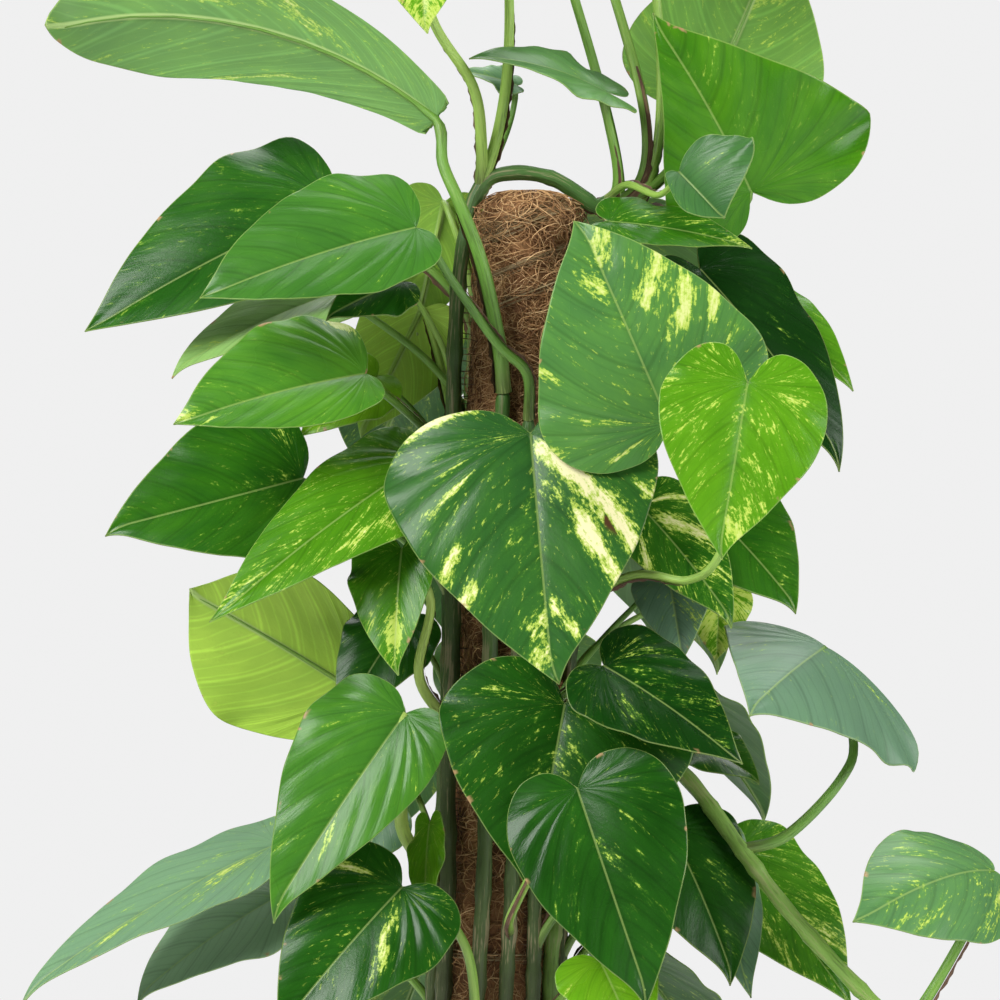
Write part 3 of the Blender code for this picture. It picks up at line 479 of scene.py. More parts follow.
class Graph:
    """A material's node tree, built with short calls that take sockets, numbers or colours."""

    def __init__(self, name: str) -> None:
        """Starts a material that has a Principled shader.

        Args:
            name: the material's name.
        """
        self.material = bpy.data.materials.new(name)
        self.material.use_nodes = True
        self.tree = self.material.node_tree
        self.shader = self.tree.nodes["Principled BSDF"]

    def feed(self, socket: bpy.types.NodeSocket, value: object) -> None:
        """Links a socket to another one, or gives it a value.

        Args:
            socket: the input.
            value: an output socket, a number, a vector or a colour.
        """
        if isinstance(value, bpy.types.NodeSocket):
            self.tree.links.new(value, socket)
            return
        if isinstance(value, Tint):
            value = value.value
        if isinstance(value, tuple) and socket.type == "RGBA":
            value = (*value, 1.0)
        socket.default_value = value

    def node(self, kind: str, settings: dict, inputs: dict) -> bpy.types.Node:
        """Adds a node.

        Args:
            kind: the node's type.
            settings: its properties.
            inputs: values or sockets for its inputs, by name or index.

        Returns:
            The node.
        """
        made = self.tree.nodes.new(kind)
        for key, value in settings.items():
            setattr(made, key, value)
        for key, value in inputs.items():
            self.feed(made.inputs[key], value)
        return made

    def math(self, operation: str, *values: object, clamp: bool = False) -> bpy.types.NodeSocket:
        """The result of a Math node, kept between 0 and 1 if clamp says so."""
        settings = {"operation": operation, "use_clamp": clamp}
        return self.node("ShaderNodeMath", settings, dict(enumerate(values))).outputs[0]

    def times(self, first: object, second: object) -> bpy.types.NodeSocket:
        """Two values multiplied."""
        return self.math("MULTIPLY", first, second)

    def scaled(self, value: object, factor: object, start: object) -> bpy.types.NodeSocket:
        """A value times the factor, added to start."""
        return self.math("MULTIPLY_ADD", value, factor, start)

    def shifted(self, value: object, noise: object, amount: float) -> bpy.types.NodeSocket:
        """A value moved up and down by a noise."""
        return self.scaled(self.math("SUBTRACT", noise, 0.5), amount, value)

    def fade(self, value: object, low: float, high: float) -> bpy.types.NodeSocket:
        """A smooth step from 0 at low to 1 at high."""
        inputs = {0: value, 1: low, 2: high, 3: 0.0, 4: 1.0}
        return self.node("ShaderNodeMapRange", {"interpolation_type": "SMOOTHSTEP"}, inputs).outputs[0]

    def within(self, value: object, low: float, high: float) -> bpy.types.NodeSocket:
        """A smooth step from 1 at low to 0 at high."""
        return self.math("SUBTRACT", 1.0, self.fade(value, low, high))

    def lines(self, value: object, low: float, high: float) -> bpy.types.NodeSocket:
        """Lines where the value is whole, which is 0.5 from the middle of a fraction."""
        across = self.math("ABSOLUTE", self.math("SUBTRACT", self.math("FRACT", value), 0.5))
        return self.fade(across, low, high)

    def ramp(self, factor: object, stops: tuple) -> bpy.types.NodeSocket:
        """A colour ramp.

        Args:
            factor: the place on the ramp.
            stops: pairs of a place and a colour.

        Returns:
            The colour.
        """
        made = self.node("ShaderNodeValToRGB", {}, {0: factor})
        elements = made.color_ramp.elements
        while len(elements) < len(stops):
            elements.new(0.5)
        for element, (place, colour) in zip(elements, stops):
            element.position = place
            element.color = (*colour, 1.0)
        return made.outputs[0]

    def mix(self, factor: object, first: object, second: object, way: str = "MIX") -> bpy.types.NodeSocket:
        """Two colours mixed, with the second one alone at factor 1."""
        settings = {"data_type": "RGBA", "blend_type": way}
        return self.node("ShaderNodeMix", settings, {0: factor, 6: first, 7: second}).outputs[2]

    def tinted(self, colour: object, mask: object, share: object, tint: object) -> bpy.types.NodeSocket:
        """A colour that takes a share of the tint where the mask is."""
        return self.mix(self.times(mask, share), colour, tint)

    def parts(self, vector: object) -> tuple:
        """The three values of a vector or colour."""
        return tuple(self.node("ShaderNodeSeparateXYZ", {}, {0: vector}).outputs)

    def stretched(self, parts: tuple, sizes: tuple) -> bpy.types.NodeSocket:
        """A vector whose parts are multiplied by sizes."""
        inputs = {index: self.times(*pair) for index, pair in enumerate(zip(parts, sizes))}
        return self.node("ShaderNodeCombineXYZ", {}, inputs).outputs[0]

    def noise(self, vector: object, scale: float, detail: float, rough: float = 0.5) -> bpy.types.NodeSocket:
        """Noise from about 0.2 to 0.8, with finer layers by detail and rough."""
        inputs = {"Vector": vector, "Scale": scale, "Detail": detail, "Roughness": rough}
        return self.node("ShaderNodeTexNoise", {"normalize": True}, inputs).outputs[0]

    def attribute(self, name: str) -> bpy.types.Node:
        """The node that reads a mesh attribute."""
        return self.node("ShaderNodeAttribute", {"attribute_name": name}, {})

    def place(self) -> bpy.types.NodeSocket:
        """Object coordinates."""
        return self.node("ShaderNodeTexCoord", {}, {}).outputs["Object"]

    def relief(self, height: object, strength: float, distance: float) -> None:
        """Bumps the shader's surface by a height, with distance in metres."""
        inputs = {"Strength": strength, "Distance": distance, "Height": height}
        self.feed(self.shader.inputs["Normal"], self.node("ShaderNodeBump", {}, inputs).outputs[0])

    def done(self, colour: object, roughness: object, **fixed: float) -> bpy.types.Material:
        """Gives the shader its colour and roughness.

        Args:
            colour: the base colour.
            roughness: the roughness.
            fixed: values of other sockets, with spaces written as underscores.

        Returns:
            The material.
        """
        self.feed(self.shader.inputs["Base Color"], colour)
        self.feed(self.shader.inputs["Roughness"], roughness)
        for name, value in fixed.items():
            self.shader.inputs[name.replace("_", " ")].default_value = value
        return self.material


@dataclass(frozen=True)
class BladeFinish:
    """A leaf's surface: greens by tone, marbling along the veins, and pale lines."""

    name: str
    greens: tuple
    marbling: float
    roughness: float
    gloss: float
    rib_width: float
    rib_colour: Tint
    rib_share: float
    vein_shade: float

    def marbled(self, graph: Graph, colour: object, marble: object, cream: object, masks: tuple) -> object:
        """Adds lime and cream marbling to the green.

        Args:
            graph: the material.
            colour: the green.
            marble: how much of the blade is marbled.
            cream: how far the marbling turns to cream.
            masks: how far the field lies above its limit, and the fine dashes.

        Returns:
            The colour.
        """
        excess, dashes = masks
        flecks = graph.times(graph.fade(dashes, 0.60, 0.66), graph.fade(excess, -0.2, -0.03))
        flecks = graph.times(flecks, graph.fade(marble, 0.03, 0.17))
        rich = graph.times(graph.fade(excess, 0.03, 0.19), graph.math("MULTIPLY", cream, 1.1, clamp=True))
        for mask, share, tint in (
            (graph.fade(excess, -0.13, 0.02), 0.32, Tint.MID_GREEN), (flecks, 0.55, Tint.LIME),
            (graph.fade(excess, -0.04, 0.06), 0.85, Tint.LIME), (rich, 1.0, Tint.CREAM),
        ):
            colour = graph.tinted(colour, mask, share * self.marbling, tint)
        return colour

    def build(self) -> bpy.types.Material:
        """Makes the material.

        Returns:
            The material.
        """
        graph = Graph(self.name)
        look = graph.attribute("look")
        tone, marble, cream = graph.parts(look.outputs["Color"])
        grey = look.outputs["Alpha"]
        veins = graph.parts(graph.attribute("veins").outputs["Vector"])
        rib, edge, spot = graph.parts(graph.attribute("marks").outputs["Color"])
        place = graph.place()

        patches = graph.noise(graph.stretched(veins, (0.6, 0.22, 1.0)), 1.0, 2.0)
        streaks = graph.noise(graph.stretched(veins, (2.4, 0.42, 1.7)), 1.0, 3.0, 0.62)
        dashes = graph.noise(graph.stretched(veins, (9.0, 1.5, 2.3)), 1.0, 4.0, 0.68)
        furrows = graph.noise(graph.stretched(veins, (5.0, 0.8, 1.0)), 1.0, 3.0, 0.55)
        drift = graph.noise(place, 22.0, 2.0)
        field = graph.math("ADD", graph.times(patches, 0.46), graph.times(streaks, 0.54))
        field = graph.shifted(field, dashes, 0.62)
        field = graph.shifted(field, graph.noise(place, 520.0, 3.0, 0.65), 0.34)
        excess = graph.math("SUBTRACT", field, graph.scaled(marble, -0.46, 0.76))

        level = graph.shifted(graph.shifted(tone, drift, 0.22), streaks, 0.2)
        # painted sheen: the grey sheen value mixes grey-green into the green of leaves that face the overhead
        # light
        colour = graph.tinted(graph.ramp(level, self.greens), grey, 0.85, Tint.SHEEN_GREY_GREEN)
        shade = graph.mix(1.0, colour, (self.vein_shade,) * 3, "MULTIPLY")
        colour = graph.tinted(colour, graph.lines(veins[0], 0.42, 0.495), 0.55, shade)
        finer = graph.lines(graph.scaled(drift, 1.2, graph.times(veins[0], 3.0)), 0.36, 0.5)
        colour = graph.tinted(colour, finer, 0.28, shade)
        colour = self.marbled(graph, colour, marble, cream, (excess, dashes))

        darker = graph.mix(1.0, colour, Tint.RIB_SHADOW, "MULTIPLY")
        colour = graph.tinted(colour, graph.within(rib, 0.8, 4.0), 0.5, darker)
        line = graph.within(rib, self.rib_width * 0.35, self.rib_width)
        colour = graph.tinted(colour, line, self.rib_share, self.rib_colour)
        colour = graph.tinted(colour, graph.within(edge, 0.2, 0.7), 0.4, Tint.PALE_LINE)
        worn = graph.fade(graph.noise(place, 90.0, 2.0), 0.66, 0.72)
        colour = graph.tinted(colour, worn, graph.within(edge, 0.5, 3.0), Tint.TAN)
        colour = graph.mix(graph.fade(spot, 0.55, 0.68), colour, Tint.BROWN)

        rough = graph.scaled(grey, 0.14, graph.shifted(self.roughness, drift, 0.16))
        graph.relief(graph.scaled(furrows, 5.0, graph.noise(place, 800.0, 2.0)), 0.35, 0.00012)
        return graph.done(colour, rough, Specular_IOR_Level=self.gloss)


@dataclass(frozen=True)
class StemFinish:
    """A strand's surface: green with corky stripes, pale or brown with age, painted shade in its grooves."""

    name: str
    shades: tuple
    old: tuple
    stripe: tuple
    stripes: float
    roughness: float

    def build(self) -> bpy.types.Material:
        """Makes the material.

        Returns:
            The material.
        """
        graph = Graph(self.name)
        skin = graph.parts(graph.attribute("skin").outputs["Vector"])
        tint, age, _ = graph.parts(graph.attribute("trait").outputs["Color"])
        grain = graph.noise(graph.stretched(skin, (3.6, 3.6, 0.045)), 1.0, 3.0, 0.6)
        patches = graph.noise(graph.stretched(skin, (0.8, 0.8, 0.03)), 1.0, 3.0, 0.6)
        colour = graph.mix(age, graph.ramp(graph.shifted(tint, patches, 0.35), self.shades), self.old)
        marked = graph.shifted(grain, patches, 0.7)
        bark = graph.times(graph.fade(marked, 0.55, 0.64), self.stripes)
        bark = graph.times(bark, graph.scaled(age, 0.7, 0.3))
        colour = graph.mix(bark, colour, self.stripe)
        # painted shade: darkens where the bark's relief is lowest
        colour = graph.tinted(colour, graph.within(marked, 0.34, 0.42), 0.35, Tint.GROOVE_SHADE)
        graph.relief(graph.scaled(marked, 4.0, graph.noise(graph.place(), 700.0, 2.0)), 0.6, 0.00025)
        return graph.done(colour, graph.scaled(bark, 0.25, self.roughness), IOR=1.45)


@dataclass(frozen=True)
class FibreFinish:
    """Coir or straw: browns that change from strand to strand."""

    name: str
    browns: tuple
    roughness: float
    scale: float
    depth: float

    def build(self) -> bpy.types.Material:
        """Makes the material.

        Returns:
            The material.
        """
        graph = Graph(self.name)
        tint = graph.parts(graph.attribute("trait").outputs["Color"])[0]
        place = graph.place()
        fine = graph.noise(place, self.scale, 3.0, 0.65)
        level = graph.shifted(graph.shifted(tint, graph.noise(place, 60.0, 3.0), 0.5), fine, 0.5)
        graph.relief(fine, 0.8, self.depth)
        return graph.done(graph.ramp(level, self.browns), self.roughness)


@dataclass(frozen=True)
class GroundFinish:
    """Crumbly or grained matter: a ramp read from layered noise."""

    name: str
    colours: tuple
    roughness: float
    scale: float
    stretch: tuple
    strength: float
    depth: float

    def build(self) -> bpy.types.Material:
        """Makes the material.

        Returns:
            The material.
        """
        graph = Graph(self.name)
        spread = graph.stretched(graph.parts(graph.place()), self.stretch)
        coarse = graph.noise(spread, self.scale, 4.0, 0.65)
        level = graph.shifted(coarse, graph.noise(spread, self.scale * 6.0, 3.0, 0.6), 0.5)
        graph.relief(level, self.strength, self.depth)
        colour = graph.ramp(graph.fade(level, 0.28, 0.76), self.colours)
        return graph.done(colour, graph.shifted(self.roughness, coarse, 0.2))


UPPER = BladeFinish(
    "leaf_upper", UPPER_GREENS, marbling=1.0, roughness=0.27, gloss=0.2, rib_width=0.9,
    rib_colour=Tint.PALE_LINE, rib_share=0.36, vein_shade=0.62,
)
LOWER = BladeFinish(
    "leaf_underside", LOWER_GREENS, marbling=0.55, roughness=0.46, gloss=0.2, rib_width=2.4,
    rib_colour=Tint.PALE_VEIN, rib_share=0.75, vein_shade=1.5,
)
STEM = StemFinish(
    "climbing_stem", ((0.0, (0.02, 0.07, 0.012)), (0.5, (0.05, 0.16, 0.02)), (1.0, (0.20, 0.36, 0.06))),
    old=(0.07, 0.055, 0.03), stripe=(0.38, 0.30, 0.18), stripes=0.85, roughness=0.5,
)
STALK = StemFinish(
    "leaf_stalk", ((0.0, (0.05, 0.15, 0.02)), (0.5, (0.15, 0.32, 0.04)), (1.0, (0.42, 0.58, 0.12))),
    old=(0.14, 0.20, 0.05), stripe=(0.42, 0.50, 0.16), stripes=0.45, roughness=0.4,
)
SHEATH = StemFinish(
    "dried_sheath", ((0.0, (0.045, 0.022, 0.012)), (1.0, (0.12, 0.065, 0.032))),
    old=(0.10, 0.05, 0.026), stripe=(0.36, 0.24, 0.13), stripes=0.6, roughness=0.8,
)
ROOT = StemFinish(
    "clinging_root", ((0.0, (0.10, 0.055, 0.025)), (1.0, (0.36, 0.26, 0.14))),
    old=(0.09, 0.05, 0.025), stripe=(0.5, 0.40, 0.24), stripes=0.4, roughness=0.8,
)
COIR = FibreFinish("coir_fibre", COIR_BROWNS, roughness=0.85, scale=420.0, depth=0.0006)
STRAW = FibreFinish(
    "straw_band", ((0.0, (0.14, 0.085, 0.032)), (0.5, (0.29, 0.20, 0.085)), (1.0, (0.62, 0.50, 0.28))),
    roughness=0.6, scale=500.0, depth=0.0002,
)
SOIL = GroundFinish(
    "potting_soil", ((0.0, (0.010, 0.007, 0.005)), (0.5, (0.035, 0.022, 0.014)), (0.85, (0.09, 0.058, 0.036)),
    (1.0, (0.22, 0.16, 0.11))), roughness=0.95, scale=190.0, stretch=(1, 1, 1), strength=1.0, depth=0.0022,
)
WOOD = GroundFinish(
    "stake_wood", ((0.0, (0.19, 0.11, 0.055)), (0.6, (0.36, 0.23, 0.12)), (1.0, (0.5, 0.35, 0.2))),
    roughness=0.7, scale=90.0, stretch=(1, 1, 0.06), strength=0.5, depth=0.0005,
)
PLASTIC = GroundFinish(
    "pot_plastic", ((0.0, (0.020, 0.021, 0.022)), (0.6, (0.028, 0.029, 0.031)), (1.0, (0.045, 0.046, 0.048))),
    roughness=0.42, scale=60.0, stretch=(1, 1, 0.5), strength=0.12, depth=0.0003,
)
FLOOR = GroundFinish(
    "pale_floor", ((0.0, (0.80, 0.80, 0.80)), (1.0, (0.84, 0.84, 0.84))),
    roughness=0.8, scale=3.0, stretch=(1, 1, 1), strength=0.02, depth=0.0002,
)


def mapped_grid(bm: bmesh.types.BMesh, columns: int, rows: int, place: Callable) -> list:
    """Adds a grid to bm and moves each of its vertices.

    Args:
        bm: the mesh.
        columns: faces across.
        rows: faces along.
        place: gets the column and row of a vertex and the vertex, and gives its place in mm.

    Returns:
        The grid's vertices.
    """
    made = bmesh.ops.create_grid(bm, x_segments=columns, y_segments=rows, size=0.5)["verts"]
    for vertex in made:
        column = round((vertex.co.x + 0.5) * columns)
        row = round((vertex.co.y + 0.5) * rows)
        vertex.co = place(column, row, vertex) * MM
    return made


def finished_piece(
    name: str, bm: bmesh.types.BMesh, finishes: tuple, slot: str, *nodes: str
) -> bpy.types.Object:
    """Makes the piece's object, dresses it and ties it to the frame.

    Args:
        name: the piece's name.
        bm: its mesh, which is freed.
        finishes: its materials, in the order of its slots.
        slot: the name of a material slot; not used.
        nodes: the CAD nodes that it stands for.

    Returns:
        The object.
    """
    mesh = bpy.data.meshes.new(name)
    bm.to_mesh(mesh)
    bm.free()
    mesh.shade_smooth()
    thing = bpy.data.objects.new(name, mesh)
    bpy.context.scene.collection.objects.link(thing)
    for material in finishes:
        mesh.materials.append(material)
    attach(thing, "root")
    if nodes:
        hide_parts(*nodes)
    log.info("%s has %d faces", name, len(mesh.polygons))
    return thing


def closed(bm: bmesh.types.BMesh, gap: float = 1e-6) -> bmesh.types.BMesh:
    """Merges near points and turns the faces outwards.

    Args:
        bm: the mesh.
        gap: how near the points are, in metres.

    Returns:
        The same mesh.
    """
    bmesh.ops.remove_doubles(bm, verts=bm.verts, dist=gap)
    bmesh.ops.recalc_face_normals(bm, faces=bm.faces)
    return bm


def catmull(points: list | tuple, step: float) -> list[Vector]:
    """A smooth curve through the points.

    Args:
        points: places in mm.
        step: about how far apart the curve's points are.

    Returns:
        The curve's points.
    """
    points = [Vector(point) for point in points]
    ends = [points[0] * 2 - points[1], *points, points[-1] * 2 - points[-2]]
    curve = [points[0]]
    for index in range(1, len(ends) - 2):
        a, b, c, d = ends[index - 1 : index + 3]
        count = max(1, round((c - b).length / step))
        for part in range(1, count + 1):
            t = part / count
            bend = (c - a) * t + (2 * a - 5 * b + 4 * c - d) * t**2 + (3 * b - a - 3 * c + d) * t**3
            curve.append(0.5 * (2 * b + bend))
    return curve


def run_of(points: list[Vector], start: float = 0.0) -> list[float]:
    """How far along a line each of its points is.

    Args:
        points: the line.
        start: the first point's distance.

    Returns:
        The distances.
    """
    run = [start]
    for a, b in zip(points, points[1:]):
        run.append(run[-1] + (b - a).length)
    return run


def smooth(value: float, low: float, high: float) -> float:
    """A smooth step from 0 at low to 1 at high."""
    share = min(1.0, max(0.0, (value - low) / (high - low)))
    return share * share * (3 - 2 * share)


def bump(distance: float, width: float) -> float:
    """A bell curve: 1 at distance 0."""
    return math.exp(-((distance / width) ** 2))


class Midrib:
    """The midrib of a blade as a bent line with a frame at each of its points."""

    COUNT = 24

    def __init__(self, leaf: Leaf) -> None:
        """Bends the line as the leaf says.

        Args:
            leaf: the leaf.
        """
        self.base = Vector(leaf.base)
        chord = Vector(leaf.tip) - self.base
        along = chord.normalized()
        azimuth, elevation, arch, sweep, droop = (
            math.radians(angle) for angle in (*leaf.face, leaf.arch, leaf.sweep, leaf.droop)
        )
        level = math.cos(elevation)
        normal = Vector((math.sin(azimuth) * level, -math.cos(azimuth) * level, math.sin(elevation)))
        normal = (normal - along * normal.dot(along)).normalized()
        side = normal.cross(along)
        flat = [Vector((0.0, 0.0, 0.0))]
        turns = []
        for index in range(self.COUNT + 1):
            s = index / self.COUNT
            pitch = arch * (0.5 - s) - droop * max(0.0, (s - 0.6) / 0.4) ** 2
            yaw = sweep * (0.5 - s)
            ahead = math.cos(pitch)
            turns.append(Vector((ahead * math.cos(yaw), ahead * math.sin(yaw), math.sin(pitch))))
            flat.append(flat[-1] + turns[-1] / self.COUNT)
        end = flat[self.COUNT]
        fit = end.rotation_difference(Vector((1.0, 0.0, 0.0)))
        self.length = chord.length / end.length
        self.frames = []
        for point, turn in zip(flat, turns):
            turn = fit @ turn
            across = Vector((0.0, 0.0, 1.0)).cross(turn).normalized()
            vectors = (fit @ point * self.length, turn, across, turn.cross(across))
            self.frames.append(tuple(along * v.x + side * v.y + normal * v.z for v in vectors))

    def at(self, s: float) -> tuple[Vector, Vector, Vector, Vector]:
        """The place, direction, side and upward vectors on the midrib.

        Args:
            s: the place, in lengths from the base.

        Returns:
            The point in mm and three unit vectors.
        """
        place = min(max(s, 0.0), 1.0) * self.COUNT
        index = min(int(place), self.COUNT - 1)
        mix = place - index
        point, turn, side, up = (a.lerp(b, mix) for a, b in zip(self.frames[index], self.frames[index + 1]))
        point = point + turn * min(s, 0.0) * self.length
        return self.base + point, turn.normalized(), side.normalized(), up.normalized()


class Blade:
    """One leaf blade as a sheet whose rows run along its side veins."""

    REACHES = (0.0, 0.022, 0.06, 0.13, 0.22, 0.32, 0.43, 0.54, 0.65, 0.76, 0.86, 0.94, 0.985, 1.0)
    SMALL_REACHES = (0.0, 0.04, 0.14, 0.3, 0.46, 0.62, 0.78, 0.9, 0.98, 1.0)
    SMALL = 62.0
    LARGE = 95.0
    EDGE_WAVE = 2.0
    EDGE_RIPPLE = 1.3

    def __init__(self, name: str, leaf: Leaf, midrib: Midrib, look: Look) -> None:
        """Works out the blade's outline.

        Args:
            name: the leaf's name, which also seeds its chances.
            leaf: its shape.
            midrib: its midrib.
            look: its colours.
        """
        self.leaf = leaf
        self.midrib = midrib
        self.look = look
        self.seed = random.Random(name).uniform(0.0, 60.0)
        self.size = max(leaf.width, midrib.length)
        small = self.size <= self.SMALL
        self.reaches = self.SMALL_REACHES if small else self.REACHES
        self.rows = 30 if small else 60 if self.size > self.LARGE else 44
        self.vein_count = 7 if small else 9
        self.edge = self.even_outline()

    def shaped(self, along: float, aside: float) -> Vector:
        """A point of the plain outline with this leaf's belly and lobes, in mm.

        Args:
            along: lengths from the base.
            aside: widths from the midrib.

        Returns:
            The flat point.
        """
        aside *= 1 - BELLY_TAPER * self.leaf.belly * (1 - max(along, 0.0)) ** 2
        along = along * self.leaf.lobe / LOBE if along < 0 else along ** (1 / (1 + self.leaf.belly))
        return Vector((along * self.midrib.length, aside * self.leaf.width, 0.0))

    def even_outline(self) -> list[tuple[float, float]]:
        """The outline from notch to tip at even steps.

        Returns:
            Flat points: along in lengths, aside in widths.
        """
        points = [self.shaped(*point) for point in (NOTCH_GUIDE, *OUTLINE)]
        lead = max(1, round((points[1] - points[0]).length / OUTLINE_STEP))
        curve = catmull(points, OUTLINE_STEP)[lead:]
        run = run_of(curve)
        even = []
        index = 0
        for row in range(self.rows + 1):
            share = row / self.rows
            goal = run[-1] * row / self.rows
            while index < len(run) - 2 and run[index + 1] < goal:
                index += 1
            mix = (goal - run[index]) / max(run[index + 1] - run[index], 1e-9)
            point = curve[index].lerp(curve[index + 1], min(mix, 1.0))
            uneven = 1 + 0.018 * math.sin(11 * share + self.seed) + 0.010 * math.sin(27 * share - self.seed)
            even.append((point.x / self.midrib.length, max(point.y, 0.0) / self.leaf.width * uneven))
        return even

    def surface(self, along: float, aside: float, lift: float) -> Vector:
        """A point of the blade's upper surface.

        Args:
            along: lengths from the base.
            aside: widths from the midrib, above 0 on one side.
            lift: relief in mm.

        Returns:
            The point in mm.
        """
        leaf = self.leaf
        point, _, side, up = self.midrib.at(along)
        hook = 1.5 * max(0.0, along - HOOK_START) ** 2 * self.midrib.length
        point = point + (side * (0.8 if self.seed > 30 else -0.8) - up * 0.6) * hook
        half = leaf.width / 2
        sign = 1.0 if aside > 0 else -1.0
        reach = abs(aside) * leaf.width * (1 + sign * leaf.lean)
        fold = math.radians(leaf.fold)
        bend = math.radians(leaf.curl) / half
        out = (math.sin(fold) - math.sin(fold - bend * reach)) / bend
        rise = (math.cos(fold - bend * reach) - math.cos(fold)) / bend
        wave = self.EDGE_WAVE * (reach / half) ** 2 * math.sin(FULL_TURN * (1.6 * along + 0.3 * sign))
        wave += self.EDGE_RIPPLE * (reach / half) ** 4 * math.sin(FULL_TURN * 3.7 * along + self.seed * sign)
        return point + side * out * sign + up * (rise + wave + lift)

    def marbling(self, q: float, t: float) -> float:
        """How much marbling the leaf has at a place.

        Args:
            q: the vein, from 0 at the notch to 1 at the tip.
            t: from the midrib at 0 to the edges at 1, right with the tip down, and -1.

        Returns:
            The marbling, 0 or more.
        """
        look = self.look
        value = look.marble * (1 + look.bias * (1 if t > 0 else -1))
        value += look.tip * max(0.0, q) ** 3 * 1.5
        for side, vein, spread, start, end, strength in look.streaks:
            reach = t * side
            if start - 0.1 < reach < end + 0.1:
                ends = min(1.0, (reach - start + 0.1) / 0.12, (end + 0.1 - reach) / 0.12)
                value += strength * bump(q - vein, spread) * ends
        return max(0.0, value)

    def add_to(self, bm: bmesh.types.BMesh) -> None:
        """Adds the blade to a mesh that has the look, veins and marks layers.

        Args:
            bm: the mesh.
        """
        looks = bm.verts.layers.float_color["look"]
        veins = bm.verts.layers.float_vector["veins"]
        marks = bm.verts.layers.float_color["marks"]
        spans = [-reach for reach in self.reaches[:0:-1]] + list(self.reaches)
        look = self.look

        def place(column: int, row: int, vertex: bmesh.types.BMVert) -> Vector:
            """A point of the blade, whose layers are filled in."""
            t = spans[column]
            q = (row / self.rows - NOTCH_SHARE) / (1 - NOTCH_SHARE)
            far, wide = self.edge[row]
            root = max(0.0, far - VEIN_SLANT * wide)
            along = root + (far - root) * (0.55 * abs(t) + 0.45 * abs(t) ** VEIN_BEND)
            aside = wide * t
            stretch = math.hypot((far - root) * self.midrib.length, wide * self.leaf.width)
            phase = q * self.vein_count
            puff = abs(math.sin(math.pi * phase)) - 0.6
            body = abs(t) ** 1.3 * (1.5 - 1.2 * smooth(abs(t), 0.55, 1.0))
            rib = abs(aside) * self.leaf.width if along > 0 else stretch * abs(t)
            calm = min(1.0, stretch / 48.0) * (0.3 + 0.7 * smooth(q, 0.05, 0.35))
            sway = 0.5 * math.sin(FULL_TURN * (1.4 * q + 0.6 * t) + self.seed) * min(1.0, self.size / 120.0)
            lift = (look.quilt * puff * calm + sway) * body - 0.22 * bump(rib, 2.2)
            spot = 0.0
            if look.spot and t > 0:
                spot = max(0.0, 1.0 - math.hypot((q - look.spot[0]) * 22.0, (t - look.spot[1]) * 6.0))
            vertex[looks] = (look.tone, self.marbling(q, t), look.cream, look.grey)
            vertex[veins] = (phase, t * stretch / 10.0, self.seed)
            vertex[marks] = (rib, (1 - abs(t)) * stretch, spot, 0.0)
            return self.surface(along, aside, lift)

        made = mapped_grid(bm, len(spans) - 1, self.rows, place)
        faces = list({face for vertex in made for face in vertex.link_faces})
        bm.normal_update()
        up = self.midrib.at(0.4)[3]
        if sum(face.normal.dot(up) * face.calc_area() for face in faces) < 0:
            bmesh.ops.reverse_faces(bm, faces=faces)


@dataclass
class Strand:
    """A tube along a line, and what its finish reads.

    first is the side that the section's angle 0 faces at the start, tint makes it lighter or
    darker from 0 to 1, and age gives the share of the old colour at each point.
    """

    points: list
    radii: list
    skin: Skin = Skin.STEM
    section: Section = Section.ROUND
    first: Vector | None = None
    tint: float = 0.5
    age: list | None = None

    def frames(self) -> list[tuple[Vector, Vector]]:
        """Two directions across the line at each of its points.

        Returns:
            Pairs of unit vectors.
        """
        made = []
        across = self.first
        last = len(self.points) - 1
        for index in range(last + 1):
            along = (self.points[min(index + 1, last)] - self.points[max(index - 1, 0)]).normalized()
            if across is None:
                across = along.orthogonal()
            across = (across - along * across.dot(along)).normalized()
            made.append((across, along.cross(across)))
        return made

    def radius(self, step: int, angle: float, run: float, number: int) -> float:
        """The radius of the section at a point.

        Args:
            step: the point's place on the line.
            angle: the angle round the line.
            run: how far along the line it is.
            number: the strand's number, which varies its ribs.

        Returns:
            The radius in mm.
        """
        radius = self.radii[step]
        if self.section is Section.RIDGED:
            radius *= 1 + 0.05 * math.sin(5 * angle + run / 60.0) + 0.03 * math.sin(9 * angle + number)
        elif self.section is Section.CHANNELLED:
            turned = min(angle, FULL_TURN - angle)
            radius *= 1 - 0.30 * bump(turned, 0.5) + 0.05 * bump(turned - 0.9, 0.3)
        return radius


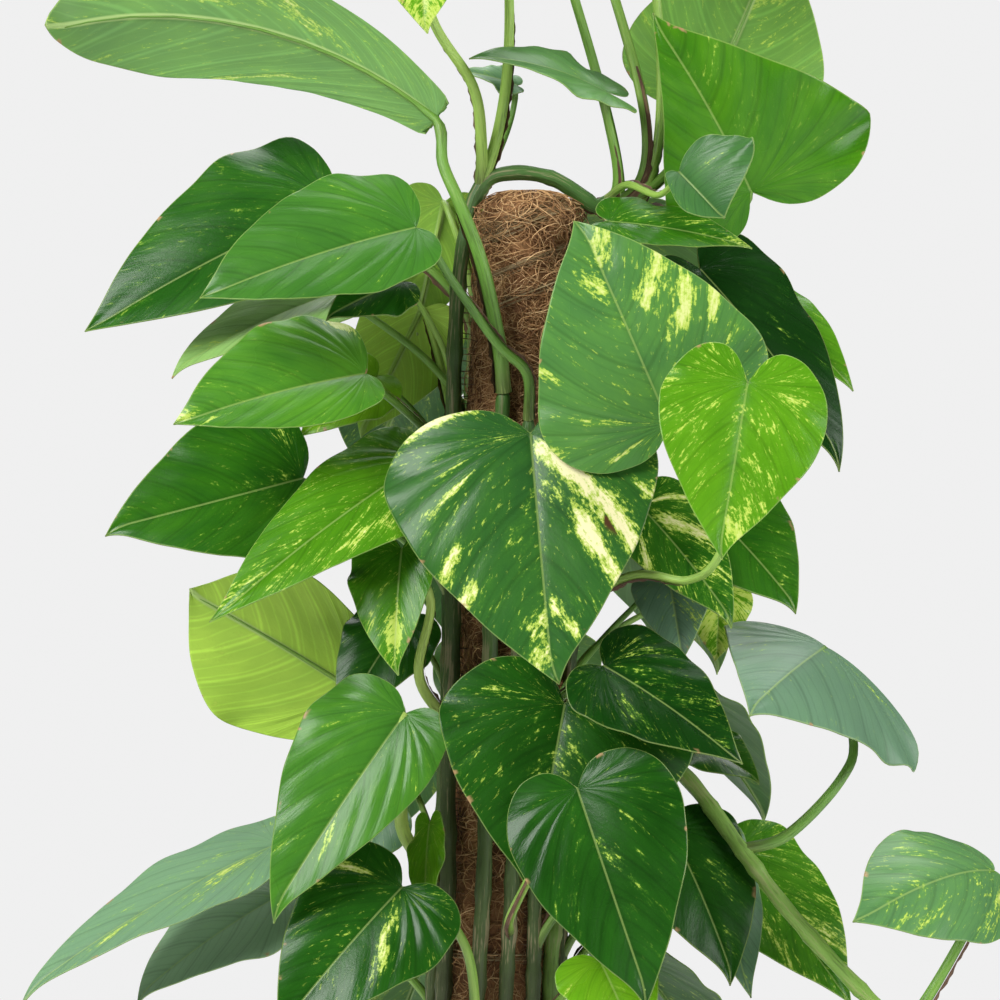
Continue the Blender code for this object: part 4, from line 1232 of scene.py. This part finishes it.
def strand_bundle(strands: list[Strand], sides: int) -> bmesh.types.BMesh:
    """All strands as tubes, cut from one grid.

    Args:
        strands: the tubes.
        sides: faces round each tube.

    Returns:
        The mesh, with the layers skin and trait.
    """
    bm = bmesh.new()
    skins = bm.verts.layers.float_vector.new("skin")
    traits = bm.verts.layers.float_color.new("trait")
    owner = [(index, step) for index, strand in enumerate(strands) for step in range(len(strand.points))]
    frames = [strand.frames() for strand in strands]
    starts = [random.Random(index).uniform(0.0, 900.0) for index in range(len(strands))]
    runs = [run_of(strand.points, start) for strand, start in zip(strands, starts)]
    rows_of = {}

    def place(column: int, row: int, vertex: bmesh.types.BMVert) -> Vector:
        """A point of the tube that owns the row."""
        index, step = owner[row]
        strand = strands[index]
        angle = FULL_TURN * column / sides
        across, other = frames[index][step]
        vertex[skins] = (math.cos(angle), math.sin(angle), runs[index][step])
        vertex[traits] = (strand.tint, strand.age[step] if strand.age else 0.5, 0.0, 1.0)
        rows_of[vertex] = row
        radius = strand.radius(step, angle, runs[index][step], index)
        return strand.points[step] + (across * math.cos(angle) + other * math.sin(angle)) * radius

    mapped_grid(bm, sides, len(owner) - 1, place)
    between = []
    for face in bm.faces:
        rows = [rows_of[vertex] for vertex in face.verts]
        first = owner[min(rows)][0]
        if first != owner[max(rows)][0]:
            between.append(face)
        face.material_index = strands[first].skin.value
    bmesh.ops.delete(bm, geom=between, context="FACES")
    return closed(bm, 2e-6)


@dataclass
class LeafyStem:
    """One climbing stem with its leaves: sizes in mm."""

    name: str
    vine: Vine
    blade_thickness: float = 0.7
    ring_step: float = 3.5
    node_gap: float = 46.0
    stem_sides: int = 16
    stalk_sides: int = 10
    root_sides: int = 4
    stalk_step: float = 5.0
    root_gap: float = 3.6
    root_reach: float = 52.0
    sheath_length: float = 110.0
    sheath_columns: int = 5

    def __post_init__(self) -> None:
        """Works out the stem's line and its chances."""
        self.line = catmull(self.vine.route, self.ring_step)
        self.fine = catmull(self.vine.route, FINE_STEP)
        self.chance = random.Random(self.name)
        self.midribs = {name: Midrib(leaf) for name, leaf in self.vine.leaves.items()}

    def look_of(self, name: str) -> Look:
        """The leaf's own look, or one by chance.

        Args:
            name: the leaf's name.

        Returns:
            The look.
        """
        if name in LOOKS:
            return LOOKS[name]
        chance = random.Random(name).uniform
        return Look(
            tone=chance(0.12, 0.5), marble=chance(0.05, 0.38), cream=chance(0.1, 0.8), grey=chance(0.0, 0.25),
            bias=chance(-0.5, 0.5), tip=chance(-0.1, 0.15), quilt=chance(0.5, 0.8),
        )

    def node_at(self, leaf: Leaf) -> tuple[Vector, Vector]:
        """Where a leaf's stalk leaves the stem, and the stem's direction there.

        Args:
            leaf: the leaf.

        Returns:
            The point and the direction.
        """
        fine = self.fine
        towards = Vector(leaf.via[0] if leaf.via else leaf.base)
        best = min(
            range(len(fine)), key=lambda i: abs(fine[i].z - leaf.start) + 0.2 * (fine[i] - towards).length
        )
        return fine[best], fine[min(best + 1, len(fine) - 1)] - fine[max(best - 1, 0)]

    def stem(self) -> Strand:
        """The stem itself, with a swollen ring at each node.

        Returns:
            The strand.
        """
        last = len(self.line) - 1
        trailing = self.name == "vine_trailing"
        joints = [self.node_at(leaf)[0] for leaf in self.vine.leaves.values()]
        goal = self.node_gap * 0.5
        for run, point in zip(run_of(self.line)[1:], self.line[1:]):
            if run > goal:
                joints.append(point)
                goal += self.node_gap * self.chance.uniform(0.8, 1.2)
        radii = []
        age = []
        for index, point in enumerate(self.line):
            near = min((point - joint).length for joint in joints)
            swell = 1 + 0.16 * bump(near, 3.6) + 0.05 * math.sin(index * 0.7)
            radii.append(self.vine.radius * (1 - STEM_TAPER * (index / last)) * swell)
            age.append((0.1 + 0.8 * (1 - index / last) ** 0.8) * (0.25 if trailing else 1.0))
        for back, share in ((1, 0.05), (2, 0.55), (3, 0.85)):
            radii[-back] *= share
        tint = 0.95 if trailing else self.chance.uniform(0.35, 0.7)
        return Strand(self.line, radii, Skin.STEM, Section.RIDGED, age=age, tint=tint)

    def stalk_line(self, leaf: Leaf, midrib: Midrib) -> list[Vector]:
        """The stalk's line from inside the stem to the blade's base.

        Args:
            leaf: the leaf.
            midrib: its midrib.

        Returns:
            The line's points.
        """
        node, along = self.node_at(leaf)
        point, turn, _, up = midrib.at(0.0)
        joint = point - up * 1.6
        if leaf.via:
            under = midrib.at(SUNK)
            route = [node, *(Vector(place) for place in leaf.via), joint, under[0] - under[3]]
            line = catmull(route, self.stalk_step)
            return line[: -max(1, round((route[-1] - joint).length / self.stalk_step))]
        span = (joint - node).length
        level = Vector((joint.x - node.x, joint.y - node.y, 0.0))
        leave = node + along.normalized() * span * 0.38 + level * 0.18
        arrive = joint - turn * span * 0.12 - up * span * 0.22
        count = max(10, round(span / self.stalk_step))
        line = []
        for t in (index / count for index in range(count + 1)):
            low = node * (1 - t) ** 3 + leave * 3 * t * (1 - t) ** 2
            line.append(low + arrive * 3 * t**2 * (1 - t) + joint * t**3)
        return line

    def stalk(self, name: str, leaf: Leaf) -> Strand:
        """The leaf's stalk and midrib as one strand, from the leaf's tip back to the stem.

        Args:
            name: the leaf's name.
            leaf: the leaf.

        Returns:
            The strand.
        """
        midrib = self.midribs[name]
        line = self.stalk_line(leaf, midrib)
        length = run_of(line)[-1]
        points = []
        radii = []
        age = []
        for s in (0.93, 0.86, 0.76, 0.66, 0.56, 0.46, 0.36, 0.27, 0.19, 0.12, 0.06):
            point, _, _, up = midrib.at(s)
            radius = (0.35 + 1.25 * (1 - s) ** 1.2) * min(1.0, leaf.width / 90 + 0.25)
            points.append(point - up * (self.blade_thickness + 0.45 * radius))
            radii.append(radius)
            age.append(0.0)
        for index in range(len(line) - 1, -1, -1):
            share = index / (len(line) - 1)
            run, end = share * length, (1 - share) * length
            radius = leaf.thick * (1.15 - 0.35 * share) * (1.25 if leaf.base[2] > 935 else 1.0)
            radius *= 1 + 0.08 * bump(run, 5.0) + 0.10 * bump(end - 9.0, 5.0) - 0.06 * bump(end - 18.0, 3.0)
            if run < 6.0:
                radius = min(radius, self.vine.radius * 0.98)
            points.append(line[index])
            radii.append(radius * (1 - 0.2 * bump(end, 3.0)))
            age.append(min(1.0, 0.9 * bump(run, 16.0) + 0.35 * bump(end - 9.0, 6.0)))
        tint = STALK_TINTS.get(name, self.chance.uniform(0.3, 0.7))
        return Strand(points, radii, Skin.STALK, Section.CHANNELLED, midrib.at(0.9)[3], tint, age)

    def roots(self) -> list[Strand]:
        """Clinging roots from the stem into the coir.

        Returns:
            The strands.
        """
        chance = self.chance
        made = []
        run = goal = 0.0
        for before, point in zip(self.line[1:-3], self.line[2:-2]):
            run += (point - before).length
            if run < goal or not SOIL_LEVEL + 6 <= point.z <= COIR_SHOULDER:
                continue
            goal = run + self.root_gap * chance.uniform(0.5, 1.6)
            inward = Vector((pole_x(point.z), 0.0, point.z)) - point
            gap = inward.length - COIR_RADIUS
            if inward.length > self.root_reach:
                continue
            inward = inward.normalized()
            aside = inward.cross(Vector((0.0, 0.0, 1.0))) * chance.uniform(-0.6, 0.6)
            fall = Vector((0.0, 0.0, chance.uniform(-2.5, 1.0)))
            curve = catmull((
                point + inward * self.vine.radius * 0.4,
                point + (inward + aside).normalized() * gap * 0.8 + fall * 0.4,
                point + inward * gap + aside * gap * 1.3 + fall,
                point + inward * (gap + 3.0) + aside * gap * 1.5 + fall * 1.3,
            ), 3.4)
            thick = chance.uniform(0.35, 0.8)
            radii = [thick * (1 - 0.6 * i / (len(curve) - 1)) for i in range(len(curve))]
            tint = chance.random()
            made.append(Strand(curve, radii, Skin.ROOT, tint=tint, age=[chance.random()] * len(curve)))
        return made

    def sheath(self, name: str, leaf: Leaf, bm: bmesh.types.BMesh) -> None:
        """Adds the dried sheath that wraps the lower part of a stalk.

        Args:
            name: the leaf's name.
            leaf: the leaf.
            bm: the stems mesh.
        """
        chance = random.Random(name + "_sheath")
        line = self.stalk_line(leaf, self.midribs[name])
        length = run_of(line)[-1]
        reach = min(length * chance.uniform(0.6, 0.9), self.sheath_length)
        rows = max(6, round(reach / 3.0))
        frames = Strand(line, [], first=self.midribs[name].at(0.0)[3]).frames()
        lean = chance.choice((-1, 1))
        start = chance.uniform(0, 500)
        skins = bm.verts.layers.float_vector["skin"]
        traits = bm.verts.layers.float_color["trait"]

        def place(column: int, row: int, vertex: bmesh.types.BMVert) -> Vector:
            """A point of the sheath, which lifts off towards its ragged edge."""
            share = row / rows
            part = column / self.sheath_columns
            spot = share * reach / length * (len(line) - 1)
            index = min(int(spot), len(line) - 2)
            across, other = frames[index]
            ragged = 1 + 0.6 * math.sin(row * 1.7 + start) * math.sin(row * 0.63)
            spread = (0.40 + 0.34 * part * (1 - 0.5 * share)) * math.pi * lean
            lift = leaf.thick * 1.12 + 0.2 + part**2 * 2.4 * (1 - share) ** 0.5 * ragged
            vertex[skins] = (math.cos(spread), math.sin(spread), start + share * reach)
            vertex[traits] = (chance.uniform(0.35, 0.65), part, 0.0, 1.0)
            point = line[index].lerp(line[index + 1], spot - index)
            return point + (across * math.cos(spread) + other * math.sin(spread)) * lift * (1 - 0.12 * share)

        for vertex in mapped_grid(bm, self.sheath_columns, rows, place):
            for face in vertex.link_faces:
                face.material_index = Skin.SHEATH.value

    def build(self, blade_finishes: tuple, stem_finishes: tuple) -> None:
        """Makes the piece of all blades, and that of the stem, its stalks, roots and sheaths.

        Args:
            blade_finishes: materials of the upper surface and the underside.
            stem_finishes: materials in the order of Skin.
        """
        leaves = self.vine.leaves.items()
        bm = bmesh.new()
        bm.verts.layers.float_color.new("look")
        bm.verts.layers.float_vector.new("veins")
        bm.verts.layers.float_color.new("marks")
        for name, leaf in leaves:
            Blade(name, leaf, self.midribs[name], self.look_of(name)).add_to(bm)
        bmesh.ops.remove_doubles(bm, verts=bm.verts, dist=1e-6)
        thing = finished_piece("blades_" + self.name, bm, blade_finishes, "leafy_stem", self.name)
        thicken = thing.modifiers.new("thickness", "SOLIDIFY")
        thicken.thickness = self.blade_thickness * MM
        thicken.offset = -1.0
        thicken.material_offset = 1

        bm = strand_bundle([self.stem()], self.stem_sides)
        stalks = strand_bundle([self.stalk(*leaf) for leaf in leaves], self.stalk_sides)
        for extra in (stalks, strand_bundle(self.roots(), self.root_sides)):
            mesh = bpy.data.meshes.new("strands")
            extra.to_mesh(mesh)
            extra.free()
            bm.from_mesh(mesh)
            bpy.data.meshes.remove(mesh)
        for name, leaf in leaves:
            if leaf.thick > 2.1 and random.Random(name).random() < 0.75:
                self.sheath(name, leaf, bm)
        finished_piece("stems_" + self.name, bm, stem_finishes, "leafy_stem", self.name)


@dataclass
class CoirPole:
    """The coir round the stake: a lumpy mat, loose fibres and straw bands, in mm."""

    fibres: int = 5400
    fibre_points: int = 6
    strand_radius: float = 0.27
    mat_rows: int = 200
    mat_columns: int = 64
    band_steps: int = 48
    bands: tuple = ((868.0, 24), (842.0, 12), (822.0, 10), (700.0, 9), (560.0, 7), (430.0, 9), (300.0, 7))

    def __post_init__(self) -> None:
        """Seeds the pole's chances."""
        self.chance = random.Random(5)

    def on_pole(self, turn: float, height: float, lift: float) -> Vector:
        """A point on the lumpy coir or its domed top, lifted off it.

        Args:
            turn: the angle round the pole, in radians.
            height: its height.
            lift: how far it is lifted.

        Returns:
            The point in mm.
        """
        lump = math.sin(3 * turn + height / 37.0) + 0.6 * math.sin(5 * turn - height / 23.0)
        out = COIR_RADIUS + 0.7 * lump / 1.6
        if height > COIR_SHOULDER:
            rise = min(1.0, (height - COIR_SHOULDER) / (COIR_TOP - COIR_SHOULDER))
            out *= math.sqrt(max(0.0, 1 - rise**2))
        out += lift
        return Vector((pole_x(height) + out * math.sin(turn), -out * math.cos(turn), height))

    def mat(self) -> bmesh.types.BMesh:
        """The dense mat under the loose fibres, darker than most of them, partly as painted shade.

        Returns:
            The mesh.
        """
        bm = bmesh.new()
        traits = bm.verts.layers.float_color.new("trait")

        def place(column: int, row: int, vertex: bmesh.types.BMVert) -> Vector:
            """A point of the mat, with all of the lowest row in the middle."""
            height = COIR_FOOT + (COIR_TOP - COIR_FOOT) * row / self.mat_rows
            shaggy = 0.8 * math.sin(column * 2.4 + row * 1.1) * math.sin(row * 0.9) * math.sin(column * 12.1)
            # a low tint: partly the denser coir, partly painted shade between the loose fibres
            vertex[traits] = (0.3 + 0.1 * math.sin(row * 0.37 + column * 0.8), 0.5, 0.0, 1.0)
            if row == 0:
                return Vector((pole_x(COIR_FOOT), 0.0, COIR_FOOT))
            lift = -0.9 + shaggy if row < self.mat_rows else 0.0
            return self.on_pole(FULL_TURN * column / self.mat_columns, height, lift)

        mapped_grid(bm, self.mat_columns, self.mat_rows, place)
        return closed(bm)

    def fibre(self) -> Strand:
        """One loose fibre that curls over the coir.

        Returns:
            The strand.
        """
        chance = self.chance
        turn = chance.uniform(0, FULL_TURN)
        height = chance.uniform(SOIL_LEVEL - 8, COIR_TOP - 2)
        if chance.random() < 0.2:
            height = chance.uniform(690.0, COIR_TOP - 2)
        heading = chance.uniform(0, FULL_TURN)
        bend = chance.uniform(-0.75, 0.75)
        step = chance.uniform(3.4, 6.2)
        lift = chance.uniform(-0.7, 1.3)
        crown = chance.uniform(0.5, 3.4) if chance.random() < 0.25 else 0.6
        if height > COIR_SHOULDER - 4:
            lift += chance.uniform(0.0, 3.0)
            crown += chance.uniform(0.0, 3.5)
        last = self.fibre_points - 1
        points = []
        for index in range(self.fibre_points):
            rise = lift + crown * math.sin(math.pi * (index / last))
            points.append(self.on_pole(turn, min(height, COIR_TOP - 0.5), rise))
            turn += math.cos(heading) * step / COIR_RADIUS
            height += math.sin(heading) * step * 0.8
            heading += bend
        radius = self.strand_radius * chance.uniform(0.6, 1.35)
        radii = [radius * (1.0 if 0 < index < last else 0.35) for index in range(self.fibre_points)]
        return Strand(points, radii, tint=chance.betavariate(2.6, 2.0))

    def band(self, height: float, strands: int) -> list[Strand]:
        """A band of straw strands wound round the coir, which slopes more near the top.

        Args:
            height: its height on the pole's axis.
            strands: how many strands lie side by side.

        Returns:
            The strands.
        """
        chance = self.chance
        slope = chance.uniform(-0.12, 0.30) if height < 800 else 0.42
        swing = chance.uniform(0, FULL_TURN) if height < 800 else math.pi / 2
        made = []
        for index in range(strands):
            wobble = chance.uniform(0, 6)
            offset = (index - strands / 2) * 0.5 + chance.uniform(-0.9, 0.9)
            points = []
            for step in range(self.band_steps + 1):
                turn = FULL_TURN * step / self.band_steps
                tilt = slope * COIR_RADIUS * math.cos(turn - swing)
                place = height + offset * (1 + 0.25 * math.sin(turn * 2 + wobble)) + tilt
                lift = 0.9 + 0.35 * math.sin(turn * 5 + index) + 0.4 * (index % 3)
                points.append(self.on_pole(turn, min(place, COIR_TOP - 4), lift))
            radii = [self.strand_radius * chance.uniform(0.7, 1.3)] * len(points)
            made.append(Strand(points, radii, tint=chance.uniform(0.0, 0.8)))
        return made

    def build(self, coir: bpy.types.Material, straw: bpy.types.Material) -> None:
        """Makes the mat, the fibres and the bands.

        Args:
            coir: the fibres' material.
            straw: the bands' material.
        """
        finished_piece("coir_mat", self.mat(), (coir,), "coir_fibre", "coir_sleeve")
        for name in ("coir_fibres", "coir_tangle"):
            loose = strand_bundle([self.fibre() for _ in range(self.fibres)], 3)
            finished_piece(name, loose, (coir,), "coir_fibre", "coir_sleeve")
        strands = [strand for band in self.bands for strand in self.band(*band)]
        finished_piece("coir_bands", strand_bundle(strands, 4), (straw,), "coir_fibre", "coir_sleeve")


@dataclass
class GrowerPot:
    """A plain tapered pot with a rim, and the soil's crumbs, in mm."""

    steps: int = 96
    rings: tuple = (44.0, 84.0, 124.0)
    ring_depth: float = 0.5
    crumbs: int = 620

    def shell(self) -> bmesh.types.BMesh:
        """The pot's wall, foot and rim, turned round the upright axis.

        Returns:
            The mesh.
        """
        foot, low, top = POT_FOOT_RADIUS, POT_HEIGHT - RIM_DEPTH, POT_HEIGHT
        inner, outer = POT_RADIUS - POT_WALL, POT_RADIUS + RIM_OUT

        def wall(height: float) -> float:
            """The outer radius of the wall at a height."""
            return foot + (POT_RADIUS - 0.6 - foot) * (height - FOOT_ROUND) / (low - FOOT_ROUND)

        profile = [(0.0, 0.6), (foot - 16, 0.6), (foot - 14, 0.0), (foot - FOOT_ROUND, 0.0)]
        profile += [(foot - 1.2, 1.2), (foot, FOOT_ROUND)]
        for ring in self.rings:
            for step in (-2.6, -1.2, 0.0, 1.2, 2.6):
                profile.append((wall(ring + step) - (0.0 if step else self.ring_depth), ring + step))
        profile += [(wall(low), low), (outer - RIM_ROUND, low), (outer - RIM_BEVEL, low + RIM_BEVEL)]
        profile += [(outer, low + RIM_ROUND), (outer, top - RIM_ROUND), (outer - RIM_BEVEL, top - RIM_BEVEL)]
        profile += [(outer - RIM_ROUND, top), (inner + RIM_ROUND, top), (inner + RIM_BEVEL, top - RIM_BEVEL)]
        profile += [(inner, top - RIM_ROUND), (foot - POT_WALL, POT_FLOOR), (0.0, POT_FLOOR)]
        bm = bmesh.new()
        points = [bm.verts.new((radius * MM, 0.0, height * MM)) for radius, height in profile]
        edges = [bm.edges.new(pair) for pair in zip(points, points[1:])]
        bmesh.ops.spin(bm, geom=points + edges, axis=(0, 0, 1), cent=(0, 0, 0), angle=FULL_TURN,
                       steps=self.steps, use_merge=True)
        return closed(bm)

    def crumb_pile(self) -> bmesh.types.BMesh:
        """Crumbs of soil and bark on the soil.

        Returns:
            The mesh.
        """
        chance = random.Random(11)
        bm = bmesh.new()
        made = 0
        while made < self.crumbs:
            out = (POT_RADIUS - POT_WALL - 5) * math.sqrt(chance.random())
            turn = chance.uniform(0, FULL_TURN)
            x, y = out * math.sin(turn), -out * math.cos(turn)
            if math.hypot(x, y) < COIR_RADIUS + 2:
                continue
            size = chance.uniform(1.2, 3.6)
            drop = SOIL_DOME * max(0.0, (out / POT_RADIUS - 0.68) / 0.32)
            spin = chance.uniform(0, 6.3)
            flat = chance.uniform(0.45, 0.8)
            long = chance.uniform(1.0, 1.7)
            start = len(bm.verts)
            bmesh.ops.create_icosphere(bm, subdivisions=1, radius=1.0)
            bm.verts.ensure_lookup_table()
            for vertex in bm.verts[start:]:
                shape = vertex.co * (1 + chance.uniform(-0.22, 0.22))
                a, b = shape.x * long, shape.y
                vertex.co = Vector((
                    x + size * (a * math.cos(spin) - b * math.sin(spin)),
                    y + size * (a * math.sin(spin) + b * math.cos(spin)),
                    SOIL_LEVEL - drop + 0.2 + size * flat * shape.z,
                )) * MM
            made += 1
        return bm

    def build(self, plastic: bpy.types.Material, soil: bpy.types.Material) -> None:
        """Makes the pot and the crumbs.

        Args:
            plastic: the pot's material.
            soil: the crumbs' material.
        """
        thing = finished_piece("pot_shell", self.shell(), (plastic,), "pot_plastic", "pot")
        thing.data.set_sharp_from_angle(angle=math.radians(38))
        finished_piece("soil_crumbs", self.crumb_pile(), (soil,), "potting_soil")


@dataclass
class Studio:
    """The camera, the soft lights and the pale floor, in metres and watts."""

    camera_place: tuple = (0.012, -4.0, 0.7)
    lens: float = 240.0
    sensor: float = 36.0
    backdrop: tuple = (0.87, 0.87, 0.87)
    surround: tuple = (0.06, 0.06, 0.06)
    floor_radius: float = 2.6
    aim: tuple = (0.0, 0.0, 0.7)
    lights: tuple = (
        ("key", (-2.2, -1.9, 2.8), 1.9, 182.0),
        ("fill", (2.7, -1.3, 1.5), 1.9, 84.0),
        ("top", (0.2, 1.1, 3.0), 2.0, 60.0),
        ("front", (1.2, -3.2, 0.4), 1.4, 8.0),
    )

    def placed(self, name: str, data: bpy.types.ID, place: tuple, turn: object) -> bpy.types.Object:
        """An object of the scene that isn't part of the plant.

        Args:
            name: its name.
            data: its camera, light or mesh.
            place: where it is.
            turn: its Euler angles.

        Returns:
            The object.
        """
        thing = bpy.data.objects.new(name, data)
        thing.location = place
        thing.rotation_euler = turn
        bpy.context.scene.collection.objects.link(thing)
        return thing

    def world(self) -> bpy.types.World:
        """An even surround that the camera sees as a pale backdrop.

        Returns:
            The world.
        """
        world = bpy.data.worlds.new("surround")
        world.use_nodes = True
        tree = world.node_tree
        blend = tree.nodes.new("ShaderNodeMix")
        blend.data_type = "RGBA"
        blend.inputs[6].default_value = (*self.surround, 1.0)
        blend.inputs[7].default_value = (*self.backdrop, 1.0)
        tree.links.new(tree.nodes.new("ShaderNodeLightPath").outputs["Is Camera Ray"], blend.inputs[0])
        tree.links.new(blend.outputs[2], tree.nodes["Background"].inputs[0])
        return world

    def build(self) -> None:
        """Makes the camera, the lights, the surround and the floor."""
        scene = bpy.context.scene
        camera = bpy.data.cameras.new("camera")
        camera.lens = self.lens
        camera.sensor_width = self.sensor
        scene.camera = self.placed("camera", camera, self.camera_place, (math.radians(90), 0.0, 0.0))
        scene.view_settings.view_transform = "Standard"
        scene.world = self.world()
        for name, place, size, power in self.lights:
            light = bpy.data.lights.new(name, "AREA")
            light.size = size
            light.energy = power
            turn = (Vector(self.aim) - Vector(place)).to_track_quat("-Z", "Y").to_euler()
            self.placed(name, light, place, turn)
        bm = bmesh.new()
        bmesh.ops.create_circle(bm, cap_ends=True, segments=96, radius=self.floor_radius)
        mesh = bpy.data.meshes.new("floor")
        bm.to_mesh(mesh)
        bm.free()
        mesh.materials.append(FLOOR.build())
        thing = self.placed("floor", mesh, (0.0, 0.0, 0.0), (0.0, 0.0, 0.0))


def main() -> None:
    """Builds the plant and its studio."""
    logging.basicConfig(level=logging.INFO, format="%(message)s")
    Studio().build()
    blades = (UPPER.build(), LOWER.build())
    stems = tuple(finish.build() for finish in (STEM, STALK, SHEATH, ROOT))
    for name, vine in VINES.items():
        LeafyStem(name, vine).build(blades, stems)
    CoirPole().build(COIR.build(), STRAW.build())
    soil = SOIL.build()
    GrowerPot().build(PLASTIC.build(), soil)
    for node, finish in (("soil", soil), ("pole_stake", WOOD.build())):
        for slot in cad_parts[node].material_slots:
            slot.material = finish


if __name__ == "__main__":
    main()
